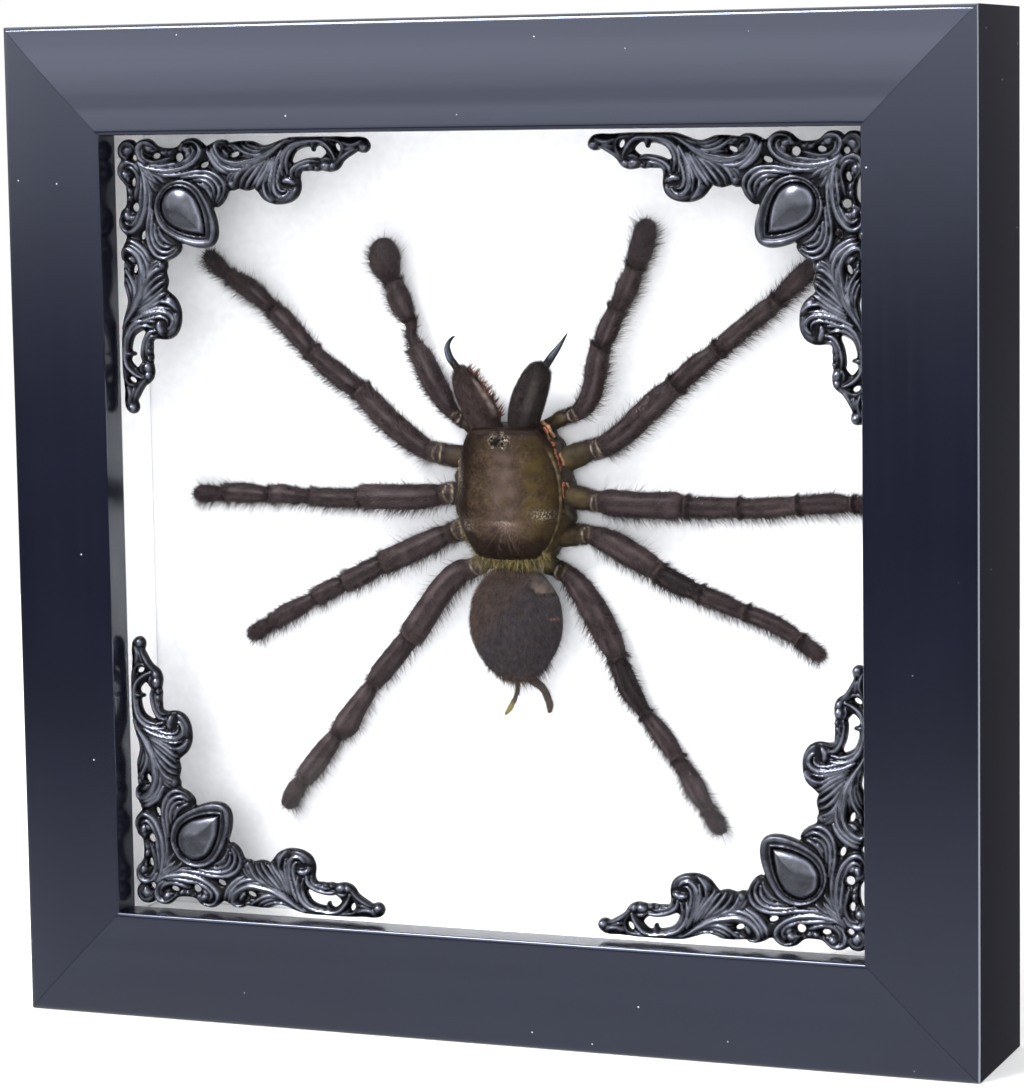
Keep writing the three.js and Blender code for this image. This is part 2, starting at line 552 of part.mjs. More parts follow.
add("carapace", carapaceGeometry(), CARAPACE);
add("abdomen", abdomenGeometry(), VELVET);
for (const [name, stations] of Object.entries(JAWS)) add(name, limbGeometry(stations, 10), LEG_BROWN);
for (const [name, stations] of Object.entries(FANGS)) add(name, limbGeometry(stations, 6), FANG_BLACK);
for (const [name, stations] of Object.entries(SPINNERETS)) add(name, limbGeometry(stations, 6), LEG_BROWN);
for (const [name, stations] of Object.entries(LEGS))
  add(name, limbGeometry(overBoard(stations, LEG_LIFT)), LEG_BROWN);
for (const [name, stations] of Object.entries(PALPS))
  add(name, limbGeometry(overBoard(stations, PALP_LIFT)), LEG_BROWN);

export default part;
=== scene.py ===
# %% [markdown]
# # A dried tarantula in a black shadow box
# The real thing is a square picture frame, 203 mm on a side and 33 mm deep, with a tarantula pinned out
# on a white board behind glass and a cast scrollwork ornament in each corner of the front. The solids
# of every piece come from the CAD model. This lesson dresses them: it keeps the plain ones, gives them
# finishes, and replaces the rails, the castings and the spider by finer meshes in the same places.

# %% Load the frame and measure it
import math
import bpy
import bmesh
import numpy as np
from mathutils import Matrix, Vector


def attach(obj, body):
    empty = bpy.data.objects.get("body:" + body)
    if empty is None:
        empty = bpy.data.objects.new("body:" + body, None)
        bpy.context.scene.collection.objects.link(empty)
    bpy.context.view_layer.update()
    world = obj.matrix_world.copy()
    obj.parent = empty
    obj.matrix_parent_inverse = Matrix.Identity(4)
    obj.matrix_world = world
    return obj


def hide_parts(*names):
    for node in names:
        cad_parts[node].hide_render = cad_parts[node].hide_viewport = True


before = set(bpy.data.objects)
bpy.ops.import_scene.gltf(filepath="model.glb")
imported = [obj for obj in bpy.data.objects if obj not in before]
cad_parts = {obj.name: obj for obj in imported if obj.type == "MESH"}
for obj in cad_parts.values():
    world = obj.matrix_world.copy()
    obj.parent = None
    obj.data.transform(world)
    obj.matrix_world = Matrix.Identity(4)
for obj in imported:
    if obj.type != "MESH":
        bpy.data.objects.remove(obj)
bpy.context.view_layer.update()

# %% [markdown]
# ## The camera
# A camera could be placed by eye, but its place is easier to repeat when it is worked out from the
# frame's own corners, which form a known square. It stands to the right of the frame and a little above
# its middle, nearly 0.8 m away, and looks along one straight line with no lens shift.

# %% Camera
CAMERA_PLACE = Vector((0.2823, -0.7087, 0.1858))
CAMERA_FORWARD = Vector((-0.3653, 0.9240, -0.1134)).normalized()
CAMERA_UP = Vector((-0.0272, 0.1111, 0.9934))
CAMERA_LENS = 127.06  # mm, on a 36 mm sensor along the picture's long side

camera_data = bpy.data.cameras.new("camera")
camera_data.lens = CAMERA_LENS
camera_data.sensor_width = 36
camera_data.sensor_fit = "AUTO"
camera_data.clip_start = 0.05
camera = bpy.data.objects.new("camera", camera_data)
bpy.context.scene.collection.objects.link(camera)
side = CAMERA_FORWARD.cross(CAMERA_UP).normalized()
up = side.cross(CAMERA_FORWARD)
axes = Matrix((side, up, -CAMERA_FORWARD)).transposed().to_4x4()
camera.matrix_world = Matrix.Translation(CAMERA_PLACE) @ axes
bpy.context.scene.camera = camera
print("camera", [round(v, 3) for v in CAMERA_PLACE])

# %% [markdown]
# ## Places and meshes
# Every place on this object is easiest to name on the face of the frame: x to the right and z up from
# the middle of the face, and depth behind the front. One helper turns such places into metres in the
# shared frame, so the same millimetres work for wood, metal and spider. Meshes are filled straight from
# number arrays, which is much faster than adding faces one at a time.

# %% Helpers for places and meshes
FACE_DEPTH = 14.9  # mm from the shared frame's middle plane to the depth that counts as 0
FACE_MIDDLE = 101.6  # mm from the floor to the middle of the face


def place(x, z, depth):
    """Millimetres on the frame's face to metres in the shared frame."""
    x, z, depth = np.broadcast_arrays(*(np.asarray(v, float) for v in (x, z, depth)))
    return np.stack([x, depth - FACE_DEPTH, z + FACE_MIDDLE], -1) / 1000


def place_points(points):
    """The same for rows of (x, depth, z)."""
    return place(points[:, 0], points[:, 2], points[:, 1])


def grid_faces(rows, columns):
    """Quads between the rows of a grid of points, whose columns close on themselves."""
    i = np.arange(rows - 1)[:, None]
    j = np.arange(columns)[None]
    a, b = i * columns + j, i * columns + (j + 1) % columns
    return np.stack([a, b, b + columns, a + columns], -1).reshape(-1, 4)


def web_faces(rows, columns):
    """A closed web: quads between its rings, and a cap on the first and on the last ring."""
    cap = np.arange(columns)[None]
    return [grid_faces(rows, columns), cap, cap + (rows - 1) * columns]


def turn_outward(mesh):
    work = bmesh.new()
    work.from_mesh(mesh)
    bmesh.ops.recalc_face_normals(work, faces=work.faces)
    work.to_mesh(mesh)
    work.free()


def add_piece(name, points, faces, material, replaces=(), smooth=True, outward=True):
    """A mesh object that rides on the frame, from places in metres and arrays of face corners."""
    faces = [np.asarray(f) for f in (faces if isinstance(faces, list) else [faces]) if len(f)]
    corners = np.concatenate([f.ravel() for f in faces]).astype(np.int32)
    sizes = np.concatenate([np.full(len(f), f.shape[1]) for f in faces])
    mesh = bpy.data.meshes.new(name)
    mesh.vertices.add(len(points))
    mesh.vertices.foreach_set("co", np.ascontiguousarray(points, np.float32).ravel())
    mesh.loops.add(len(corners))
    mesh.loops.foreach_set("vertex_index", corners)
    mesh.polygons.add(len(sizes))
    mesh.polygons.foreach_set("loop_start", np.r_[0, np.cumsum(sizes)[:-1]].astype(np.int32))
    mesh.polygons.foreach_set("use_smooth", np.full(len(sizes), smooth))
    mesh.update(calc_edges=True)
    if outward:
        turn_outward(mesh)
    mesh.materials.append(material)
    piece = bpy.data.objects.new(name, mesh)
    bpy.context.scene.collection.objects.link(piece)
    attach(piece, "root")
    if replaces:
        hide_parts(*replaces)
    return piece


def give(piece, name, values):
    """Stores one number per point, for the material to read."""
    stored_numbers = piece.data.attributes.new(name, "FLOAT", "POINT")
    stored_numbers.data.foreach_set("value", np.asarray(values, np.float32))


def waves(points, size, seed, count=28):
    """Soft unevenness: seeded plane waves of about that size, added up to roughly -1 to 1."""
    rng = np.random.default_rng(seed)
    ways = rng.normal(size=(count, points.shape[-1]))
    ways /= np.linalg.norm(ways, axis=1, keepdims=True)
    ways *= 2 * np.pi / size * rng.uniform(0.6, 1.5, (count, 1))
    return np.sin(points @ ways.T + rng.uniform(0, 2 * np.pi, count)).sum(-1) / math.sqrt(count / 2) / 1.6


def rises(value, start, end):
    """0 before start, 1 after end, and smooth in between."""
    t = np.clip((np.asarray(value, float) - start) / (end - start), 0, 1)
    return t * t * (3 - 2 * t)


def bell(off, width):
    """1 where the distance is nought, and falling off smoothly to both sides."""
    return np.exp(-((off / width) ** 2))


def turned(angle, start):
    """The smallest turn from one bearing to another, in radians."""
    return np.angle(np.exp(1j * (angle - start)))


print("helpers ready for millimetres on the face")

# %% [markdown]
# ## Finishes
# A finish here is one Principled shader fed by a few procedural nodes: noise for unevenness, a ramp that
# turns it into colours, and a bump for what is too fine to model. Values that are the same all over are
# typed into the shader's own sockets, so that they survive an export.

# %% Helpers for finishes
def new_finish(name, **sockets):
    """A material, and a function that adds a node to it and links or sets its inputs."""
    material = bpy.data.materials.new(name)
    material.use_nodes = True
    tree = material.node_tree
    shader = tree.nodes["Principled BSDF"]
    for key, value in sockets.items():
        shader.inputs[key.replace("_", " ")].default_value = value

    def node(kind, inputs=None, **settings):
        n = tree.nodes.new("ShaderNode" + kind)
        for key, value in settings.items():
            setattr(n, key, value)
        for key, value in (inputs or {}).items():
            if isinstance(value, bpy.types.NodeSocket):
                tree.links.new(value, n.inputs[key])
            else:
                n.inputs[key].default_value = value
        return n

    node.shader = shader
    node.link = lambda socket, key: tree.links.new(socket, shader.inputs[key])
    node.where = node("TexCoord").outputs["Object"]
    return material, node


def noise(node, scale, detail=3.0, roughness=0.5, where=None):
    inputs = {"Vector": where or node.where, "Scale": scale, "Detail": detail, "Roughness": roughness}
    return node("TexNoise", inputs).outputs["Fac"]


def ramp(node, value, *stops):
    """Colours at places from 0 to 1: (place, (r, g, b)) or (place, grey)."""
    n = node("ValToRGB", {"Fac": value})
    while len(n.color_ramp.elements) < len(stops):
        n.color_ramp.elements.new(0.5)
    for element, (at, colour) in zip(n.color_ramp.elements, stops):
        element.position = at
        element.color = (*colour, 1) if hasattr(colour, "__len__") else (colour,) * 3 + (1,)
    return n.outputs["Color"]


def blend(node, share, first, second):
    n = node("Mix", data_type="RGBA")
    for key, value in ((0, share), (6, first), (7, second)):
        if isinstance(value, bpy.types.NodeSocket):
            node.shader.id_data.links.new(value, n.inputs[key])
        else:
            n.inputs[key].default_value = (*value, 1) if hasattr(value, "__len__") else value
    return n.outputs[2]


def stored(node, name):
    """A number that the mesh keeps for each point."""
    return node("Attribute", attribute_name=name).outputs["Fac"]


def stretched(node, x, y, z):
    return node("Mapping", {"Vector": node.where, "Scale": (x, y, z)}).outputs["Vector"]


def reckon(node, how, a, b=0.0, c=0.0):
    return node("Math", {0: a, 1: b, 2: c}, operation=how).outputs[0]


def bump(node, height, distance, strength=1.0):
    n = node("Bump", {"Height": height, "Distance": distance, "Strength": strength})
    node.link(n.outputs["Normal"], "Normal")


def srgb(code):
    """A colour written as in a paint chart, #rrggbb, as the shader's linear numbers."""
    parts = [int(code[i:i + 2], 16) / 255 for i in (1, 3, 5)]
    return tuple(p / 12.92 if p <= 0.04045 else ((p + 0.055) / 1.055) ** 2.4 for p in parts)


print("finishes are mixed from:", ", ".join(f.__name__ for f in (noise, ramp, blend, stored, bump)))

# %% [markdown]
# ## The frame rails
# The frame is four mitred lengths of a wooden moulding in black lacquer. Its face swells gently, runs
# nearly flat toward the window and turns over a fine round at the inner edge. A bevelled box would lose
# that swell, and it's the swell that makes the reflections run along the rails. So each rail is one
# section, drawn as a smooth curve and swept along its side.

# %% Section of the moulding
# All in mm; a point of the section is (inset from the outer side, depth).
OUTER_HALF = 101.6
RAIL_WIDTH = 22.1
LIP_DEPTH = 5.8
REBATE = 6.0
FRAME_BACK = 31.6
MITRE_GAP = 0.05

EDGE_ROUND = [(0.0, 1.1), (0.06, 0.72), (0.22, 0.36), (0.5, 0.1), (0.85, -0.04)]
FACE_SWELL = [(2.5, -0.38), (5, -0.85), (7.5, -1.2), (10, -1.43), (13, -1.57), (15.5, -1.61), (17, -1.63),
              (18.5, -1.69), (20, -1.74), (21.2, -1.77)]
INNER_ROUND = [(21.6, -1.76), (21.82, -1.68), (21.98, -1.54), (22.07, -1.34), (22.1, -1.1)]
CURVE_PARTS = 12  # how finely each stretch of a curve is drawn before it is divided evenly


def smooth_path(points, step, closed=False):
    """Points about that far apart along a Catmull-Rom curve; every column is carried along."""
    p = np.asarray(points, float)
    if closed:
        p = np.vstack([p[-1], p, p[0], p[1]])
    else:
        p = np.vstack([2 * p[0] - p[1], p, 2 * p[-1] - p[-2]])
    fine = []
    for a, b, c, d in zip(p, p[1:], p[2:], p[3:]):
        t = np.linspace(0, 1, CURVE_PARTS, endpoint=False)[:, None]
        fine.append(0.5 * (2 * b + (c - a) * t + (2 * a - 5 * b + 4 * c - d) * t**2
                           + (3 * b - a - 3 * c + d) * t**3))
    fine = np.vstack([*fine, p[-2][None]])
    reach = np.r_[0, np.cumsum(np.linalg.norm(np.diff(fine[:, :2], axis=0), axis=1))]
    count = max(2, int(round(reach[-1] / step)) + 1)
    at = np.linspace(0, reach[-1], count)
    out = np.stack([np.interp(at, reach, fine[:, k]) for k in range(fine.shape[1])], -1)
    return out[:-1] if closed else out


rail_section = np.vstack([
    [(0, FRAME_BACK)], smooth_path(EDGE_ROUND + FACE_SWELL, 0.55), smooth_path(INNER_ROUND, 0.09),
    [(RAIL_WIDTH, LIP_DEPTH - 0.4), (RAIL_WIDTH - 0.4, LIP_DEPTH), (RAIL_WIDTH - REBATE, LIP_DEPTH),
     (RAIL_WIDTH - REBATE, FRAME_BACK)],
])
print("moulding section:", len(rail_section), "points")

# %% [markdown]
# The lacquer is nearly black with a slight blue cast, and what shows on it is mostly the light of the
# room, softened by a satin surface. Faint long streaks from polishing run along each rail, and a few
# specks of dust sit on it. Two finishes differ only in the way the streaks run. The wall round the
# window is the same black with less gloss, since the lacquer is thin there.

# %% Black lacquer
def lacquer(name, along):
    material, node = new_finish(name, Coat_Weight=0.5, Coat_Roughness=0.09, IOR=1.5, Specular_IOR_Level=1.0,
                                Specular_Tint=(0.65, 0.73, 1.0, 1.0))
    streaks = noise(node, 1.0, 2, where=stretched(node, *(12 if k == along else 900 for k in "xyz")))
    cloudy = noise(node, 22, 4)
    colour = ramp(node, cloudy, (0.3, srgb("#080813")), (0.7, srgb("#0b0b1a")))
    dust = node("TexVoronoi", {"Vector": node.where, "Scale": 150.0}).outputs["Distance"]
    node.link(blend(node, ramp(node, dust, (0.018, 1.0), (0.03, 0.0)), colour, srgb("#b9bac0")), "Base Color")
    worn = reckon(node, "MULTIPLY_ADD", streaks, 0.05, 0.1)
    node.link(reckon(node, "MULTIPLY_ADD", cloudy, 0.05, worn), "Roughness")
    bump(node, reckon(node, "ADD", streaks, noise(node, 260, 2)), 0.000008, 0.4)
    return material


LACQUER = {"x": lacquer("black_lacquer_level", "x"), "z": lacquer("black_lacquer_upright", "z")}
MATT, node = new_finish("satin_black_wall", Specular_IOR_Level=0.5, Roughness=0.22,
                        Specular_Tint=(0.76, 0.86, 1.0, 1.0))
node.link(ramp(node, noise(node, 300, 4), (0.3, srgb("#0a0a14")), (0.7, srgb("#11111c"))), "Base Color")
bump(node, noise(node, 900, 3), 0.00002, 0.5)
print("lacquer:", [m.name for m in LACQUER.values()])

# %% [markdown]
# A rail is the section repeated along its side. Every point of the section keeps its own inset, so the
# rows get shorter toward the window and both ends come out cut on the mitre, with a hair's breadth left
# between neighbours. The wall of the window takes the duller black.

# %% The four rails
RAIL_STEP = 6.0  # mm between the sections along a rail


def rail(name, turn, along):
    ways = np.linspace(-1, 1, int(2 * OUTER_HALF / RAIL_STEP))
    inset, depth = rail_section.T
    rows = []
    for way in ways:
        x = way * (OUTER_HALF - inset - MITRE_GAP)
        z = OUTER_HALF - inset
        for _ in range(turn):
            x, z = z, -x
        rows.append(place(x, z, depth))
    count = len(rail_section)
    piece = add_piece(name + "_moulding", np.vstack(rows), web_faces(len(ways), count),
                      LACQUER[along], [name])
    piece.data.materials.append(MATT)
    inner = [k for k in range(count) if rail_section[k, 0] > RAIL_WIDTH - 0.5 and rail_section[k, 1] > -1.2]
    for face in piece.data.polygons[:-2]:
        if face.index % count in inner:
            face.material_index = 1
    sharpen(piece, 35)
    return piece


def sharpen(piece, degrees):
    """Smooth shading except across edges sharper than that."""
    work = bmesh.new()
    work.from_mesh(piece.data)
    limit = math.radians(degrees)
    for edge in work.edges:
        edge.smooth = len(edge.link_faces) == 2 and edge.calc_face_angle(0) < limit
    work.to_mesh(piece.data)
    work.free()


RAILS = [("rail_top", "x"), ("rail_right", "z"), ("rail_bottom", "x"), ("rail_left", "z")]
for turn, (name, along) in enumerate(RAILS):
    made = rail(name, turn, along)
    print(made.name, len(made.data.polygons), "faces")

# %% [markdown]
# ## Glass, spacers, board and back
# These are plain flat pieces whose CAD solids are right, so they stay and only get finishes. The pane is
# clear glass, given by transmission and an index of refraction. That index is lower than plain glass has,
# so that the pane mirrors as little of the room as coated picture glass does. Light comes into the box
# through it at full strength, so it casts no shadow of its own.

# %% Clear glass
GLASS, node = new_finish("clear_glass", Transmission_Weight=1.0, IOR=1.25, Roughness=0.0)
tint = ramp(node, noise(node, 14, 2), (0.2, (0.985, 0.985, 0.99)), (0.8, (0.995, 0.995, 0.998)))
node.link(tint, "Base Color")
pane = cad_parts["glass_pane"]
pane.visible_shadow = False
pane.visible_diffuse = False

# %% [markdown]
# The board is white card and the spacers are strips of white foam, which lets a little light in. The back
# is brown hardboard, whose pressed fibres are a noise stretched upright. The hanger and the tabs are
# plated steel with the fine lines of rolling. All this is too fine to model, so it is colour and bump.

# %% White card, foam, hardboard and steel
CARD, node = new_finish("white_card", Roughness=0.85)
node.link(ramp(node, noise(node, 700, 4), (0.3, srgb("#ecedf1")), (0.7, srgb("#f4f5f8"))), "Base Color")
bump(node, noise(node, 1600, 3), 0.00002, 0.4)

FOAM, node = new_finish("white_foam", Roughness=0.7, Subsurface_Weight=0.15, Subsurface_Scale=0.002)
node.link(ramp(node, noise(node, 500, 3), (0.3, srgb("#f6f6f6")), (0.7, srgb("#fdfdfd"))), "Base Color")
cells = node("TexVoronoi", {"Vector": node.where, "Scale": 900.0}).outputs["Distance"]
bump(node, cells, 0.00003, 0.4)

HARDBOARD, node = new_finish("brown_hardboard", Roughness=0.8)
fibres = noise(node, 1.0, 5, 0.7, where=stretched(node, 420, 420, 130))
node.link(ramp(node, fibres, (0.25, srgb("#5d4029")), (0.5, srgb("#7d5838")), (0.8, srgb("#9a7550"))),
          "Base Color")
bump(node, fibres, 0.0001, 0.7)

STEEL, node = new_finish("plated_steel", Metallic=1.0)
rolled = noise(node, 1.0, 3, where=stretched(node, 300, 300, 2600))
node.link(ramp(node, rolled, (0.3, srgb("#a9a8a0")), (0.7, srgb("#c9c7be"))), "Base Color")
node.link(reckon(node, "MULTIPLY_ADD", rolled, 0.2, 0.22), "Roughness")
bump(node, rolled, 0.00001, 0.4)
print("plain finishes:", CARD.name, FOAM.name, HARDBOARD.name, STEEL.name)

# %% Finish the pieces that stay
KEPT = {"glass_pane": GLASS, "mount_board": CARD, "back_panel": HARDBOARD, "hanger": STEEL}
KEPT.update({"tab_" + s: STEEL for s in ("top", "right", "bottom", "left")})
KEPT.update({"spacer_" + s: FOAM for s in ("top", "right", "bottom", "left")})
for name, material in KEPT.items():
    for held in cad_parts[name].material_slots:
        held.material = material
print("finished as they are:", ", ".join(KEPT))

# %% [markdown]
# ## The corner castings
# Each corner has a casting in dark pewter: scrolls, acanthus leaves and beads in low relief, pierced in
# places, round a pointed cabochon. It could be carved from hundreds of small tubes, but where tubes cross
# they look like tubes. A casting has one skin, so here the relief is a height field: every scroll is a
# stroke with a rounded top, and at each place the highest stroke wins. The outline and the piercings cut
# the field, and the cut edge is walled down to a flat back. One arm is drawn, and the other is its mirror
# image about the diagonal.

# %% Outline and piercings of one arm
# u runs along the arm from the corner, v away from the rail, in mm.
ORNAMENT_CORNER = 78.8  # from the middle of the face to the casting's own corner
ARM_OUTLINE = [
    (0.85, 0.85), (1.5, 0.35), (2.5, 0.15), (3.6, 0.35), (4.3, 0.95), (4.6, 0.75), (5.3, 0.3), (6.4, 0.08),
    (7.5, 0.22), (8.4, 0.85), (9.2, 1.55), (10.4, 1.9), (11.8, 2.0), (13.0, 1.85), (13.9, 1.3),
    (14.8, 0.5), (16.2, 0.05), (17.6, 0.1), (18.8, 0.75), (19.5, 1.4), (20.1, 1.6), (21, 1.15),
    (22.2, 0.6), (23.4, 0.4), (24.4, 0.55), (25.1, 0.95), (26.2, 0.85), (28, 0.7), (30, 0.75), (31.3, 1.2),
    (32.6, 1.6), (34, 1.45), (35.7, 0.85), (37.2, 0.35), (38.8, 0.05), (43, 0.02), (48, 0.02), (51, 0.2),
    (53.2, 0.15), (54.6, 0.35), (55.5, 1.0), (55.9, 1.9), (55.7, 2.8), (54.9, 3.4), (53.9, 3.4),
    (53.2, 3.15), (52.3, 3.65), (51, 4.4), (50.1, 5.1), (49.6, 5.9), (48.7, 6.75), (47.3, 7.15), (46, 7.0),
    (45.2, 6.85), (44.3, 7.05), (43.3, 6.9), (42.2, 6.95), (41.1, 7.0), (40.7, 7.5), (40.6, 8.4),
    (40.75, 9.5), (40.6, 10.8), (39.9, 12.1), (38.6, 13.0), (37, 13.45), (35, 13.5), (33.4, 13.05),
    (32.2, 12.3), (31.2, 11.1), (30.5, 10.35), (29.9, 10.55), (28.7, 10.75), (27.6, 10.5), (26.8, 10.35),
    (25.9, 10.7), (25.1, 10.65), (24.7, 11.0), (24.1, 12.3), (23.2, 13.4), (22.2, 14.0), (21.5, 13.9),
]
ARM_HOLES = [  # centre, half length, half width, slant in degrees
    (8.8, 3.55, 0.85, 0.5, -8), (13.9, 3.95, 0.85, 0.85, 0), (19.5, 5.45, 0.95, 0.5, -22),
    (26.3, 3.45, 0.95, 0.45, -20), (48.9, 2.2, 0.45, 0.8, -28),
]
CORNER_HOLE = (3.9, 3.9, 0.6, 0.6, 0)
CRESCENT_HOLE = [
    (38.9, 5.0), (39.1, 4.2), (39.8, 3.1), (40.8, 2.5), (42.2, 2.15), (43.0, 2.2), (43.3, 2.95),
    (43.9, 3.05), (44.2, 2.2), (45.0, 1.95), (45.9, 2.6), (46.3, 3.2), (45.8, 3.8), (45.1, 4.3),
    (44.2, 4.15), (42.6, 4.25), (41, 4.6), (39.8, 5.1), (39.2, 5.2),
]
GEM_MIDDLE = 20.4  # along the diagonal
GEM_ROUND = 6.15
GEM_REACH = 9.8
STONE_MIDDLE = 19.9


def ellipse(u, v, length, width, slant, sides=20):
    a, turn = np.linspace(0, 2 * np.pi, sides, endpoint=False), math.radians(slant)
    x, y = length * np.cos(a), width * np.sin(a)
    return np.stack([u + x * math.cos(turn) - y * math.sin(turn),
                     v + x * math.sin(turn) + y * math.cos(turn)], -1)


def gem_outline(sides=120):
    """The setting's outline, round toward the corner and drawn out inward; s along the diagonal, t across."""
    a = np.linspace(0, 2 * np.pi, sides, endpoint=False)
    along = np.cos(a)
    across = GEM_ROUND * np.sin(a) * (1 - 0.12 * np.maximum(along, 0))
    out_along = np.where(along > 0, GEM_REACH * np.maximum(along, 0) ** 1.15, GEM_ROUND * along)
    return np.stack([GEM_MIDDLE + out_along, across], -1)


def stone_outline(sides=120):
    """The cabochon's outline: a half ellipse, then two flanks that meet in a point."""
    a = np.linspace(-1, 1, sides // 2)
    s = np.where(a < 0, STONE_MIDDLE + 4.3 * a, STONE_MIDDLE + 7.6 * a)
    t = 4.0 * np.where(a < 0, np.sqrt(np.maximum(1 - a**2, 0)), 1 - np.maximum(a, 0) ** 1.75)
    return np.vstack([np.stack([s, t], -1), np.stack([s, -t], -1)[::-1]])


def across_share(s, t, outline):
    """How far out of a closed outline a place lies: 0 at the gem's middle, 1 on the line."""
    edge = outline - (GEM_MIDDLE, 0)
    angle, far = np.arctan2(edge[:, 1], edge[:, 0]), np.hypot(*edge.T)
    order = np.argsort(angle)
    reach = np.interp(np.arctan2(t, s - GEM_MIDDLE), angle[order], far[order], period=2 * np.pi)
    return np.hypot(s - GEM_MIDDLE, t) / reach


def inside(points, loop):
    """Whether each point lies in a closed outline, by counting the sides that a ray crosses."""
    u, v = points[:, 0], points[:, 1]
    count = np.zeros(len(points), int)
    for (u0, v0), (u1, v1) in zip(loop, np.roll(loop, -1, 0)):
        spans = (v0 > v) != (v1 > v)
        count += spans & (u < (u1 - u0) * (v - v0) / (v1 - v0 + 1e-12) + u0)
    return count % 2 == 1


def off_line(points, start, end):
    """Each point's distance from a straight stretch, and how far along it its nearest place is."""
    run = end - start
    t = np.clip((points - start) @ run / max(run @ run, 1e-12), 0, 1)
    return np.linalg.norm(points - start - t[:, None] * run, axis=1), t


def depth_within(points, loop, reach=1.6):
    """Distance from an outline, positive inside, up to a reach."""
    near = np.full(len(points), reach)
    for a, b in zip(loop, np.roll(loop, -1, 0)):
        box = ((points > np.minimum(a, b) - reach) & (points < np.maximum(a, b) + reach)).all(1)
        near[box] = np.minimum(near[box], off_line(points[box], a, b)[0])
    return np.where(inside(points, loop), near, -near)


def mirrored(loop):
    return np.asarray(loop)[::-1, ::-1]


arm = smooth_path(ARM_OUTLINE, 0.35)
along, off = gem_outline().T
gem_edge = np.stack([along + off, along - off], -1) / math.sqrt(2)
ARM_LOOP = np.vstack([arm, [(20.6, 15.2), (15.6, 15.6)], mirrored(np.vstack([arm, [(20.6, 15.2)]]))])
HOLES = [ellipse(*h) for h in ARM_HOLES] + [smooth_path(CRESCENT_HOLE, 0.3, closed=True)]
HOLES += [mirrored(h) for h in HOLES] + [ellipse(*CORNER_HOLE)]
print("outline:", len(ARM_LOOP), "points;", len(HOLES), "piercings")

# %% [markdown]
# The strokes follow the scrollwork from the corner outward: three lobes with beads along the rail, a long
# double stem, a leaf that curls round the gem, an acanthus fan with a shell at its end, and the arch and
# bud of the tip. Each has a half width and a height, and thins toward its ends.

